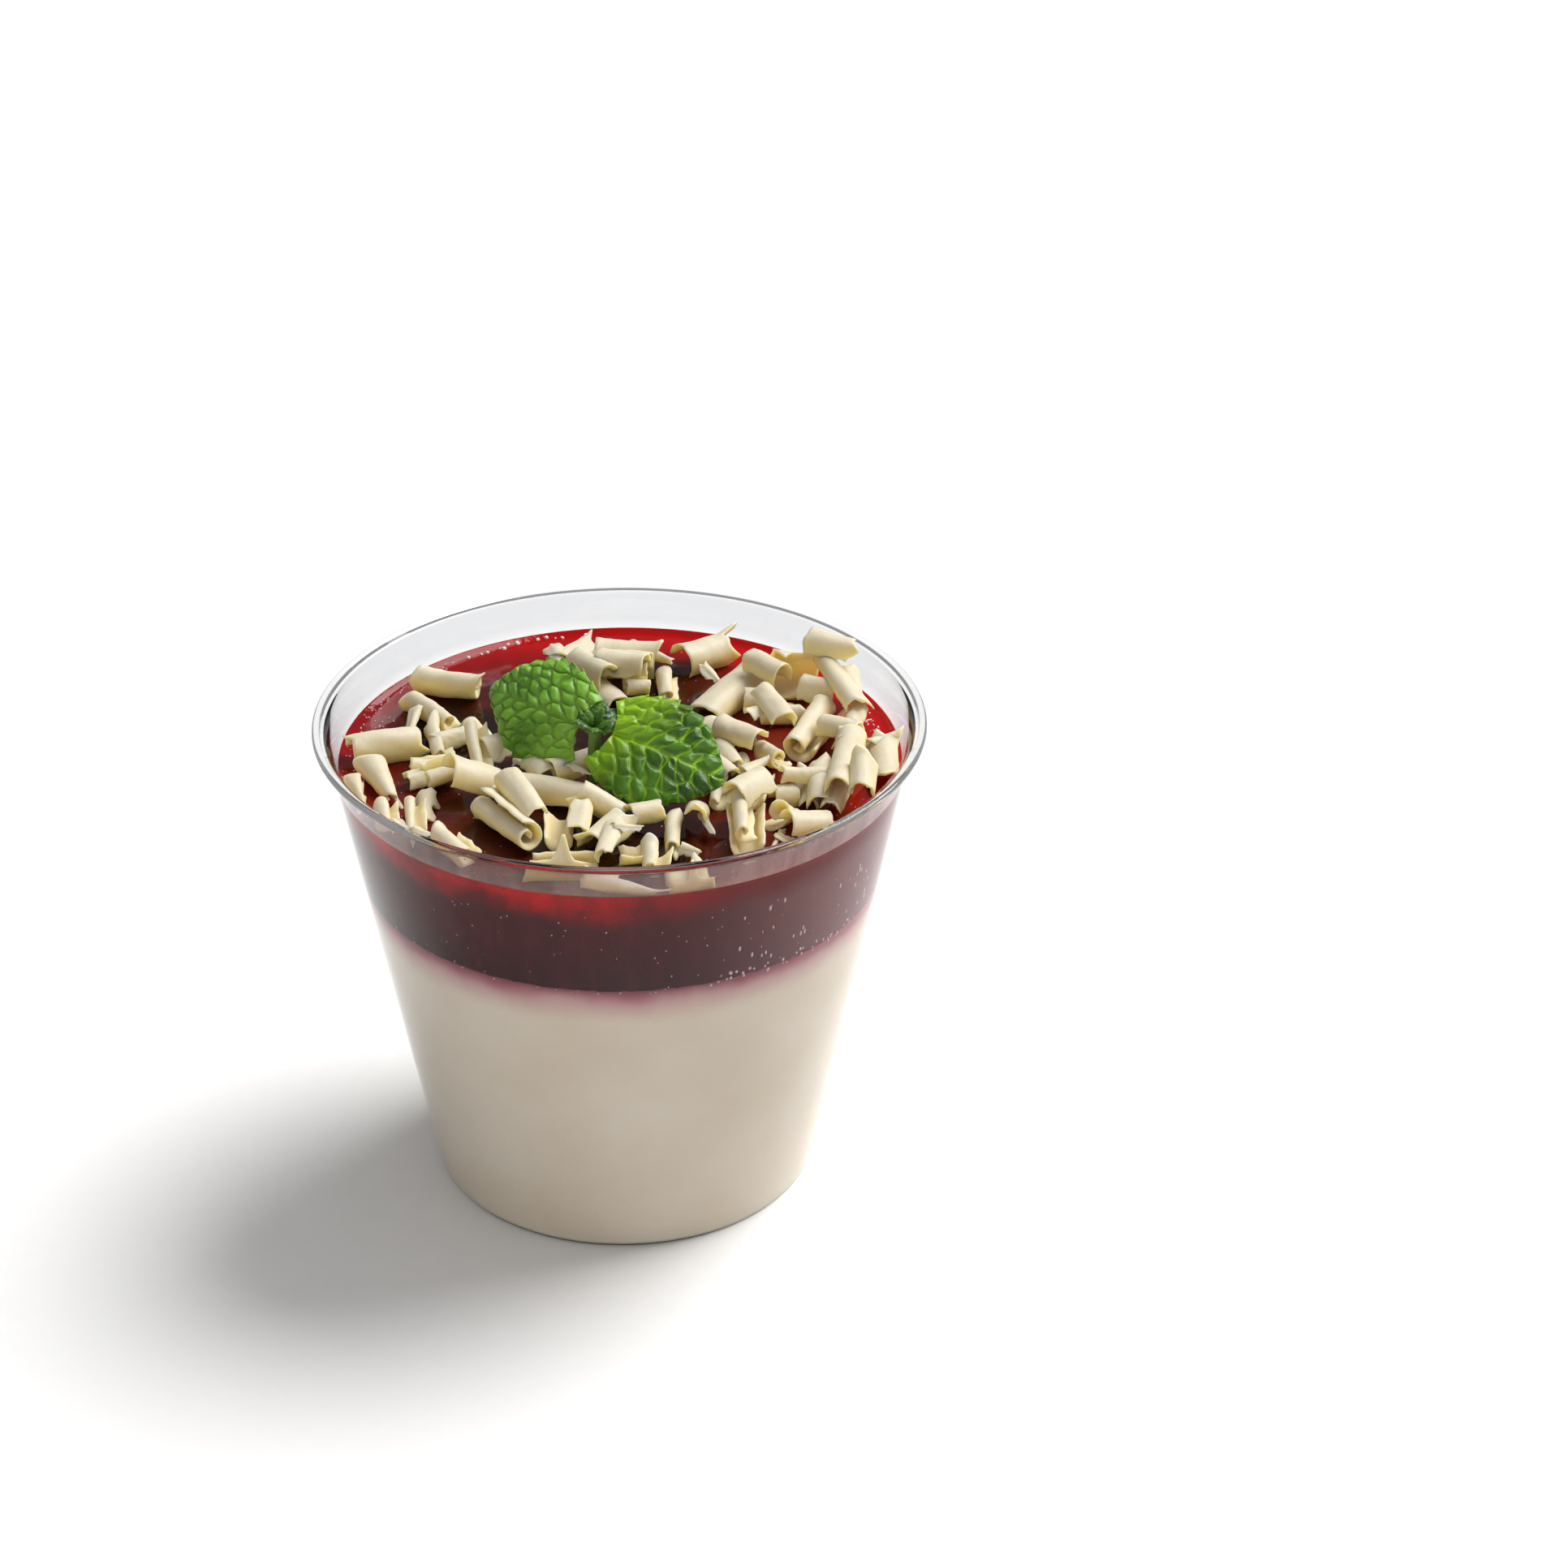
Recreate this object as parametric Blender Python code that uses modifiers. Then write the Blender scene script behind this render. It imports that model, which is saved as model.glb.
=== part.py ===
"""Panna cotta under a layer of berry jelly, in a clear plastic cup.

White chocolate curls are strewn over the jelly and a sprig of mint lies on them.
Lengths in this script are in millimetres and are turned into metres by MM as each mesh is made.
+Z is up, +X is to the right, and the middle of the cup's foot stands on the origin.
"""

import math

import bmesh
import bpy
import numpy as np
from mathutils import Matrix

MM = 0.001

# The cup: a straight taper with a rolled rim and a raised underside.
CUP_HEIGHT = 74.5
BASE_RADIUS = 28.8
MOUTH_RADIUS = 43.3
RIM_RADIUS = 45.0
WALL = 0.7
RIM_BEAD = 0.85
RIM_INSIDE = 1.0
LIP_WIDTH = 0.5
RIM_DEPTH = 2.3
FOOT_CORNER = 1.2
FOOT_RING = 1.8
RING_SLOPE = 0.5
UNDERSIDE = 1.5
FLOOR = 2.8
FLOOR_FILLET = 2.2
TURN_STEPS = 48

# What fills it. Neighbouring pieces keep a small gap.
GAP = 0.3
LAYER_HEIGHT = 51.0
JELLY_TOP = 67.6
MENISCUS_RISE = 0.6
MENISCUS_WIDTH = 1.6

# The curls: thin shavings of white chocolate, rolled up about their length.
SHAVING = 0.8
NARROW_SHARE = 0.6
CURL_STEPS_ALONG = 2
CURL_STEPS_ROUND = 7

# How a shaving is rolled: the angle that it wraps round its axis, how much narrower its far end
# is, and by how much its sides fall short of its middle there. The last two are shares.
FORMS = {
    "roll": (290, 0.10, 0.10),
    "trough": (200, 0.12, 0.08),
    "cone": (270, 0.50, 0.22),
    "shard": (150, 0.60, 0.30),
}

# Each curl in the order in which they fell: the two ends of its axis seen from above, its radius,
# its form, and the way its open side faces, turned about its axis from straight up.
CURLS = [
    ((-39.6, -0.5), (-29.6, 2.8), 2.3, "trough", 150),
    ((-35.8, -5.0), (-32.6, -13.0), 2.3, "cone", 200),
    ((-39.0, -9.8), (-37.3, -15.2), 1.5, "cone", 180),
    ((-30.5, -4.8), (-24.5, -4.5), 1.6, "roll", 160),
    ((-28.2, -9.6), (-22.8, -7.9), 1.9, "roll", 150),
    ((-25.2, -13.1), (-17.6, -11.2), 2.2, "trough", 170),
    ((-15.6, -11.2), (-4.3, -14.8), 2.4, "trough", 190),
    ((-28.0, -12.6), (-28.2, -20.0), 1.4, "shard", 150),
    ((-35.1, -16.4), (-34.3, -22.0), 1.6, "roll", 160),
    ((-31.3, -17.5), (-31.0, -24.3), 1.3, "roll", 170),
    ((-25.3, -26.7), (-21.7, -31.5), 2.0, "roll", 190),
    ((-19.6, -19.0), (-13.0, -28.8), 2.5, "roll", 60),
    ((-17.8, -14.6), (-13.6, -18.2), 1.5, "shard", 200),
    ((-8.9, -18.5), (-9.0, -28.0), 1.8, "trough", 345),
    ((-6.3, -18.3), (0.8, -20.8), 1.7, "trough", 120),
    ((-0.2, -23.8), (-4.4, -29.8), 1.8, "trough", 210),
    ((-12.7, -33.2), (-3.3, -33.8), 2.2, "trough", 160),
    ((4.2, -31.2), (4.1, -36.0), 1.8, "roll", 150),
    ((7.6, -22.2), (7.3, -30.0), 1.5, "roll", 250),
    ((10.9, -18.5), (10.5, -25.5), 1.4, "trough", 200),
    ((-5.6, -39.8), (5.4, -39.6), 1.7, "cone", 180),
    ((6.6, -39.4), (12.9, -37.8), 1.6, "trough", 170),
    ((17.4, -19.0), (17.4, -32.0), 2.5, "trough", 0),
    ((17.1, -19.5), (17.1, -31.0), 1.2, "roll", 90),
    ((19.4, -10.0), (17.6, -16.5), 2.1, "roll", 170),
    ((22.2, -22.0), (25.0, -19.0), 2.2, "cone", 160),
    ((23.2, -26.0), (29.4, -23.8), 1.7, "trough", 170),
    ((27.0, -9.3), (27.3, -17.5), 1.1, "trough", 200),
    ((29.5, -9.5), (28.6, -20.0), 1.3, "trough", 170),
    ((34.0, -2.5), (30.9, -20.5), 1.4, "roll", 160),
    ((34.9, -15.0), (34.3, -21.0), 1.3, "roll", 200),
    ((38.2, -2.5), (38.4, -11.5), 2.0, "cone", 180),
    ((21.8, -14.8), (25.2, -13.8), 1.4, "trough", 170),
    ((21.0, -1.5), (23.2, -10.5), 1.7, "roll", 200),
    ((18.4, -3.5), (18.4, -7.6), 1.3, "trough", 190),
    ((30.8, 9.8), (25.6, -3.2), 2.5, "roll", 160),
    ((22.8, 18.5), (30.3, 18.5), 3.2, "trough", 290),
    ((35.2, 4.5), (30.5, 19.5), 1.5, "trough", 180),
    ((28.8, 20.0), (35.2, 17.2), 1.7, "trough", 160),
    ((21.8, 24.0), (13.8, 11.5), 2.5, "trough", 190),
    ((21.0, 9.5), (26.6, 10.0), 1.9, "roll", 170),
    ((13.0, 6.8), (18.6, 1.2), 2.3, "trough", 180),
    ((9.5, 27.2), (16.0, 31.2), 2.4, "trough", 150),
    ((7.0, 24.0), (7.3, 16.0), 1.6, "roll", 200),
    ((-3.5, 28.5), (5.8, 27.5), 2.4, "trough", 150),
    ((0.8, 19.2), (4.8, 19.8), 1.6, "roll", 150),
    ((-8.2, 28.0), (-4.6, 36.6), 2.7, "shard", 180),
    ((-4.0, 20.5), (0.0, 14.0), 1.9, "trough", 190),
    ((-30.0, 21.0), (-21.0, 18.5), 2.4, "roll", 150),
    ((-31.0, 16.2), (-25.2, 8.2), 1.9, "roll", 190),
    ((-27.6, 6.5), (-26.2, -1.5), 1.5, "roll", 200),
    ((-22.1, 8.0), (-18.6, 0.0), 1.7, "roll", 190),
    ((-21.9, 2.0), (-20.4, -6.5), 1.5, "roll", 180),
    ((15.2, -9.0), (13.9, -17.0), 1.4, "roll", 180),
]

# Settling: the pile is a map of heights, and each curl tries these tilts and steps inwards.
CELL = 0.4
MAP_HALF = 46.0
TILTS = range(-24, 25, 4)
STEPS_IN = [0.0, 0.5, 1.0, 1.5, 2.0, 2.5, 3.0]
STEP_COST = 1.0
SAMPLE = 0.35

# The mint: a bud on its stem, which stands in a gap between the curls, and two leaves that
# spread from under the bud and droop over them.
SPRIG = (-3.6, -8.9)
BUD_HEIGHT = 77.0
BUD_RADIUS = 1.7
BUD_TOP = 3.0
STEM_RADIUS = 0.9
STEM_NECK = 1.6
SPRIG_STEPS = 10
LEAF_THICKNESS = 0.5
LEAF_STEPS = 8

# Each leaf: where its stalk meets it from the middle of the bud, then its length and width,
# heading, pitch and bank in degrees, how high its middle arches, how far its sides droop, and how
# far the lobes of its foot reach back.
LEAVES = {
    "mint_leaf_left": ((-2.3, 1.7, -0.2), 18.5, 15.2, 135, -1, -52, 1.3, 1.6, 1.2),
    "mint_leaf_right": ((2.4, -0.7, -0.4), 18.0, 18.0, -24, -14, 36, 1.5, 1.2, 2.0),
}


def outer_radius(height):
    """Radius of the cup's outside, which widens evenly from its base to its mouth."""
    return BASE_RADIUS + (MOUTH_RADIUS - BASE_RADIUS) * height / CUP_HEIGHT


def inner_radius(height):
    """Radius of the cup's inside, one wall in from its outside."""
    return outer_radius(height) - WALL


def arc(centre, radius, first, last, steps):
    """Points on a round stretch of a profile, with its angles in degrees from +X."""
    turns = [math.radians(first + (last - first) * step / steps) for step in range(steps + 1)]
    return [(centre[0] + radius * math.cos(turn), centre[1] + radius * math.sin(turn)) for turn in turns]


def clear_scene():
    """Remove whatever objects the file holds."""
    for old in list(bpy.data.objects):
        bpy.data.objects.remove(old, do_unlink=True)


def make_material(name, colour, roughness, metallic=0.0):
    """A plain surface with one colour."""
    material = bpy.data.materials.new(name)
    material.use_nodes = True
    surface = material.node_tree.nodes["Principled BSDF"]
    surface.inputs["Base Color"].default_value = (*colour, 1.0)
    surface.inputs["Roughness"].default_value = roughness
    surface.inputs["Metallic"].default_value = metallic
    return material


def add_object(name, mesh, material, collection):
    """Put a mesh in the collection as a named object with its material."""
    piece = bpy.data.objects.new(name, mesh)
    mesh.materials.append(material)
    collection.objects.link(piece)
    return piece


def turned(name, profile, material, collection, steps=TURN_STEPS):
    """A profile of (radius, height) points, turned once round the Z axis."""
    mesh = bpy.data.meshes.new(name)
    points = [(radius * MM, 0.0, height * MM) for radius, height in profile]
    edges = [(point, point + 1) for point in range(len(points) - 1)]
    mesh.from_pydata(points, edges, [])
    piece = add_object(name, mesh, material, collection)
    screw = piece.modifiers.new("Turn", "SCREW")
    screw.steps = steps
    screw.render_steps = steps
    screw.use_merge_vertices = True
    screw.merge_threshold = 0.00001
    screw.use_smooth_shade = True
    return piece


def make_cup(material, collection):
    """The cup, from the middle of its floor up inside, over the rim and down to its foot."""
    inside = inner_radius(FLOOR)
    fillet = (inside - FLOOR_FILLET, FLOOR + FLOOR_FILLET)
    bead = (RIM_RADIUS - RIM_BEAD, CUP_HEIGHT - RIM_BEAD)
    foot = (BASE_RADIUS - FOOT_CORNER, FOOT_CORNER)
    ring_inside = foot[0] - FOOT_RING
    profile = [(0.0, FLOOR)]
    profile += arc(fillet, FLOOR_FILLET, -90, 0, 3)
    profile += [(inner_radius(CUP_HEIGHT - RIM_INSIDE), CUP_HEIGHT - RIM_INSIDE)]
    profile += [(MOUTH_RADIUS - LIP_WIDTH, CUP_HEIGHT)]
    profile += arc(bead, RIM_BEAD, 90, -90, 5)
    profile += [(outer_radius(CUP_HEIGHT - RIM_DEPTH), CUP_HEIGHT - RIM_DEPTH)]
    profile += arc(foot, FOOT_CORNER, 0, -90, 3)
    profile += [(ring_inside, 0.0), (ring_inside - RING_SLOPE, UNDERSIDE), (0.0, UNDERSIDE)]
    return turned("cup", profile, material, collection)


def make_panna_cotta(material, collection):
    """The white layer, which fills the cup from its floor to the jelly."""
    inside = inner_radius(FLOOR) - GAP
    fillet = (inside - FLOOR_FILLET, FLOOR + GAP + FLOOR_FILLET)
    profile = [(0.0, LAYER_HEIGHT), (inner_radius(LAYER_HEIGHT) - GAP, LAYER_HEIGHT)]
    profile += arc(fillet, FLOOR_FILLET, 0, -90, 3)
    profile += [(0.0, FLOOR + GAP)]
    return turned("panna_cotta", profile, material, collection)


def jelly_height(radius):
    """Height of the jelly's top: flat, and drawn up a little where it meets the wall."""
    edge = inner_radius(JELLY_TOP)
    climb = np.clip((radius - edge + MENISCUS_WIDTH) / MENISCUS_WIDTH, 0.0, 1.0)
    return JELLY_TOP + MENISCUS_RISE * climb ** 2


def make_jelly(material, collection):
    """The red layer, from just above the white one to its own slightly dished top."""
    bottom = LAYER_HEIGHT + GAP
    edge = inner_radius(JELLY_TOP + MENISCUS_RISE) - GAP
    rings = [0.0, edge - MENISCUS_WIDTH, edge - MENISCUS_WIDTH / 2, edge]
    profile = [(radius, float(jelly_height(radius))) for radius in rings]
    profile += [(inner_radius(bottom) - GAP, bottom), (0.0, bottom)]
    return turned("berry_jelly", profile, material, collection)


def rolled(along, around, curl, depth):
    """Points of a rolled shaving in its own frame, with its axis along X and its open side up.

    along runs 0 to 1 down its length, around runs 0 to 1 across the sheet, and depth is how far
    inside the outer face the points lie. The radius shrinks evenly along the axis, the angle
    round the axis grows evenly across the sheet, and the far end runs out in its middle.
    """
    start, end, radius, form, facing = curl
    wrap, taper, point = FORMS[form]
    length = math.dist(start, end)
    radii = radius * (1 - taper * along) - depth
    angle = math.radians(facing + 180) + math.radians(wrap) * (around - 0.5)
    reach = 1 - point * np.abs(2 * around - 1)
    x = length * (along * reach - 0.5)
    return np.stack([x, radii * np.sin(angle), radii * np.cos(angle)], axis=-1)


def thickness(curl):
    """A shaving's thickness, which is less where its narrow end has no room for it."""
    taper = FORMS[curl[3]][1]
    return min(SHAVING, NARROW_SHARE * curl[2] * (1 - taper))


def placement(curl, tilt, inwards, height):
    """The matrix that turns a curl to its heading and tilt and sets it down."""
    start, end = curl[0], curl[1]
    middle = ((start[0] + end[0]) / 2, (start[1] + end[1]) / 2)
    away = max(math.hypot(*middle), 1.0)
    x = middle[0] * (1 - inwards / away)
    y = middle[1] * (1 - inwards / away)
    heading = math.atan2(end[1] - start[1], end[0] - start[0])
    turn = Matrix.Rotation(heading, 4, "Z") @ Matrix.Rotation(math.radians(-tilt), 4, "Y")
    return Matrix.Translation((x, y, height)) @ turn


def moved(points, matrix):
    """An array of points under a matrix."""
    table = np.array(matrix)
    return points @ table[:3, :3].T + table[:3, 3]


def cells(points):
    """The cells of the height map that points stand over."""
    spots = np.rint((points[:, :2] + MAP_HALF) / CELL).astype(int)
    spots = np.clip(spots, 0, int(2 * MAP_HALF / CELL))
    return spots[:, 0], spots[:, 1]


def bare_pile():
    """The height map before anything falls: the jelly, the sloping wall and the rim."""
    line = np.arange(int(2 * MAP_HALF / CELL) + 1) * CELL - MAP_HALF
    radius = np.hypot(line[:, None], line[None, :]) + CELL
    slope = (MOUTH_RADIUS - BASE_RADIUS) / CUP_HEIGHT
    wall = (radius + WALL - BASE_RADIUS) / slope
    return np.maximum(jelly_height(radius), np.minimum(wall, CUP_HEIGHT))


def heap_up(pile, points):
    """Raise the height map over a piece that has come to rest, and one cell round it."""
    top = np.zeros_like(pile)
    np.maximum.at(top, cells(points), points[:, 2])
    for axis in (0, 1):
        top = np.maximum(top, np.maximum(np.roll(top, 1, axis), np.roll(top, -1, axis)))
    return np.maximum(pile, top)


def surface_points(curl):
    """Points closely spaced over both faces of a curl, in its own frame."""
    length = math.dist(curl[0], curl[1])
    girth = 2 * math.pi * curl[2]
    along = np.linspace(0, 1, int(length / SAMPLE) + 2)[:, None]
    around = np.linspace(0, 1, int(girth / SAMPLE) + 2)[None, :]
    faces = [rolled(along, around, curl, depth).reshape(-1, 3) for depth in (0.0, thickness(curl))]
    return np.concatenate(faces)


def settle(curl, pile):
    """Let a curl down on the pile at every tilt and step inwards, and keep the lowest rest."""
    points = surface_points(curl)
    best = None
    for inwards in STEPS_IN:
        for tilt in TILTS:
            trial = moved(points, placement(curl, tilt, inwards, 0.0))
            height = float(np.max(pile[cells(trial)] - trial[:, 2])) + GAP
            cost = height + STEP_COST * inwards
            if best is None or cost < best[0]:
                best = (cost, tilt, inwards, height)
    matrix = placement(curl, *best[1:])
    return matrix, heap_up(pile, moved(points, matrix))


def sheet(name, steps_along, steps_across, shape, depth, material, collection):
    """A grid bent by shape(along, across), both from 0 to 1, and given its thickness."""
    mesh = bpy.data.meshes.new(name)
    grid = bmesh.new()
    bmesh.ops.create_grid(grid, x_segments=steps_along, y_segments=steps_across, size=0.5)
    flat = np.array([vertex.co[:2] for vertex in grid.verts]) + 0.5
    for vertex, place in zip(grid.verts, shape(flat[:, 0], flat[:, 1]) * MM):
        vertex.co = place
    grid.to_mesh(mesh)
    grid.free()
    piece = add_object(name, mesh, material, collection)
    mesh.shade_smooth()
    wall = piece.modifiers.new("Thickness", "SOLIDIFY")
    wall.thickness = depth * MM
    wall.use_even_offset = True
    return piece


def make_curls(material, collection):
    """Every curl, dropped in turn on those before it."""
    pile = bare_pile()
    for number, curl in enumerate(CURLS, start=1):
        matrix, pile = settle(curl, pile)

        def shape(along, across, curl=curl, matrix=matrix):
            return moved(rolled(along, across, curl, 0.0), matrix)

        piece = sheet(f"curl_{number:02d}", CURL_STEPS_ALONG, CURL_STEPS_ROUND, shape,
                      thickness(curl), material, collection)
        piece.modifiers["Thickness"].offset = -1.0


def leaf_point(along, across, leaf):
    """Points of a leaf: along 0 to 1 from its foot to its tip, across 0 to 1 over its width.

    Half its width follows a sine that starts wide at the foot and closes at the tip. The midrib
    arches as a parabola, both sides droop with the square of their distance from it, and the
    lobes beside the stalk reach back.
    """
    foot, length, width, heading, pitch, bank, arch, droop, lobe = leaf
    side = 2 * across - 1
    half = width / 2 * (np.clip(np.sin(math.pi * (0.16 + 0.84 * along)), 0, 1) ** 0.8 + 0.03)
    x = length * along - lobe * side ** 2 * (1 - along) ** 2
    y = half * side
    z = arch * 4 * along * (1 - along) - droop * side ** 2 * (half * 2 / width)
    place = Matrix.Translation((SPRIG[0] + foot[0], SPRIG[1] + foot[1], BUD_HEIGHT + foot[2]))
    turn = Matrix.Rotation(math.radians(heading), 4, "Z")
    turn = turn @ Matrix.Rotation(math.radians(-pitch), 4, "Y")
    turn = turn @ Matrix.Rotation(math.radians(bank), 4, "X")
    return moved(np.stack([x, y, z], axis=-1), place @ turn)


def make_mint(material, collection):
    """The bud with its stem, and the leaves."""
    stem_foot = float(jelly_height(0.0)) + GAP - BUD_HEIGHT
    profile = [(0.0, BUD_TOP), (BUD_RADIUS * 0.5, BUD_TOP * 0.7), (BUD_RADIUS, BUD_TOP * 0.2)]
    profile += [(BUD_RADIUS * 0.9, -STEM_NECK / 2), (STEM_RADIUS, -STEM_NECK)]
    profile += [(STEM_RADIUS, stem_foot), (0.0, stem_foot)]
    sprig = turned("mint_sprig", profile, material, collection, SPRIG_STEPS)
    sprig.location = (SPRIG[0] * MM, SPRIG[1] * MM, BUD_HEIGHT * MM)
    for name, leaf in LEAVES.items():
        def shape(along, across, leaf=leaf):
            return leaf_point(along, across, leaf)

        sheet(name, LEAF_STEPS, LEAF_STEPS, shape, LEAF_THICKNESS, material, collection)


def main():
    clear_scene()
    parts = bpy.data.collections.new("panna cotta")
    bpy.context.scene.collection.children.link(parts)
    clear = make_material("clear plastic", (0.92, 0.93, 0.94), 0.05)
    cream = make_material("set cream", (0.70, 0.62, 0.52), 0.40)
    red = make_material("berry jelly", (0.22, 0.02, 0.02), 0.10)
    ivory = make_material("white chocolate", (0.80, 0.70, 0.48), 0.45)
    green = make_material("mint", (0.10, 0.22, 0.04), 0.45)
    make_cup(clear, parts)
    make_panna_cotta(cream, parts)
    make_jelly(red, parts)
    make_curls(ivory, parts)
    make_mint(green, parts)


main()
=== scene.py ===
"""Panna cotta under berry jelly in a clear plastic cup, with white chocolate curls and mint.

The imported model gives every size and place. Each piece here is a surface worked out with numpy
on a grid, in millimetres in the model's own frame, and becomes a mesh in metres by MM.
"""

import math
from collections import namedtuple

import bpy
import numpy as np
from mathutils import Matrix, Vector

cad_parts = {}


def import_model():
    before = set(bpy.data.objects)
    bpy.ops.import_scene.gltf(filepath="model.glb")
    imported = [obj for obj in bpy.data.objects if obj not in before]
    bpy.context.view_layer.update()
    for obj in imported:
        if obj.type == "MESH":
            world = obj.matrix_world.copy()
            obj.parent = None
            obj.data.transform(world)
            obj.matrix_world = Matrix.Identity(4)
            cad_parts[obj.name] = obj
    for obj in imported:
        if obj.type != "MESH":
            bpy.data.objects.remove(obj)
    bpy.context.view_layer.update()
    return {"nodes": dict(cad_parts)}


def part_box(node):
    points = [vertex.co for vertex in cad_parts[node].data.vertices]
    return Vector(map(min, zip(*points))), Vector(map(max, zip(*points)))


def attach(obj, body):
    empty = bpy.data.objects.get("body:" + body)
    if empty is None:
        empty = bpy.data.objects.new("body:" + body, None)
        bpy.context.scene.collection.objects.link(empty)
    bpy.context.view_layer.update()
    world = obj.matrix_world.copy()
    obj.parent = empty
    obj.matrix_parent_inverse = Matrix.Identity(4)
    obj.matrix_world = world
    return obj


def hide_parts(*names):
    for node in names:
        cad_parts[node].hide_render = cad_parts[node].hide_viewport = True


MM = 0.001

# The cup's profile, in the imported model's sizes.
CUP_HEIGHT = 74.5
BASE_RADIUS = 28.8
MOUTH_RADIUS = 43.3
RIM_RADIUS = 45.0
WALL = 0.7
FOOT_CORNER = 1.2
FOOT_RING = 1.8
RING_INSIDE = BASE_RADIUS - FOOT_CORNER - FOOT_RING
UNDERSIDE = 1.5
FLOOR = 2.8
FLOOR_FILLET = 2.2
ROUND_STEPS = 256
WALL_STEPS = 36

# The cup's lip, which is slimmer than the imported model's: half its width and half its height. The
# wall flares out to it over the flare's depth, and bends into it from below.
LIP_REACH = 0.62
LIP_RISE = 0.5
FLARE = 1.0
FLARE_DEPTH = 4.5
UNDER_BEND = 0.45

# The fill. It reaches this far into the wall and the cup's floor, so that no air shows between
# them, and it stays this far above the cup's raised underside. The jelly dips into the cream.
INTO_WALL = 0.2
INTO_FLOOR = 2.35
ABOVE_UNDERSIDE = 0.4
CREAM_FILLET = 0.9
INTO_CREAM = 0.15
JELLY_TOP = 67.6
MENISCUS_RISE = 0.6
MENISCUS_WIDTH = 1.6

# The ripples on the jelly's top: the height, the width and the seed of each kind.
JELLY_RIPPLES = [(0.09, 11.0, 3), (0.03, 3.5, 4)]

# The smear of jelly on the wall above it: its two ends in degrees of azimuth, its foot above the
# jelly, its top, and how far its two faces stand off the wall.
SMEAR_ENDS = (-178, -2)
SMEAR_FOOT = 0.2
SMEAR_TOP = 72.8
SMEAR_FACES = (0.02, 0.08)

# Bubbles on the jelly: how many, from and to which azimuth, at what radius and spread, and size.
FROTH_SEED = 71
FROTH = [
    (16, 96, 128, 40.3, 0.4, 0.42),
    (70, 128, 212, 40.2, 0.7, 0.16),
    (80, 158, 190, 37.4, 1.6, 0.16),
    (80, 2, 34, 38.8, 0.9, 0.20),
    (60, -70, 0, 34.0, 6.0, 0.10),
    (70, 180, 300, 26.0, 14.0, 0.14),
    (40, 20, 90, 28.0, 10.0, 0.10),
]

# Bubbles against the wall: how many, from and to which azimuth, at what height and spread, their
# half width, and how tall they are for their width.
SIDE_BUBBLE_SEED = 75
SIDE_BUBBLES = [
    (34, -66, -26, 58.0, 5.0, 0.34, 1.6),
    (40, -72, -30, 51.2, 0.8, 0.38, 0.9),
    (10, -150, -115, 51.0, 0.6, 0.26, 0.9),
    (70, -160, -20, 58.0, 6.5, 0.13, 1.2),
    (12, -112, -78, 50.8, 0.5, 0.16, 0.9),
]

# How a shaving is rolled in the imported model: its wrap, its taper and its pointed far end. It is
# this thick, but no more than a share of its narrowest radius, and tilted by one of these angles.
FORMS = {
    "roll": (290, 0.10, 0.10),
    "trough": (200, 0.12, 0.08),
    "cone": (270, 0.50, 0.22),
    "shard": (150, 0.60, 0.30),
}
SHAVING = 0.8
NARROW_SHARE = 0.6
TILTS = range(-24, 25, 4)

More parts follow.
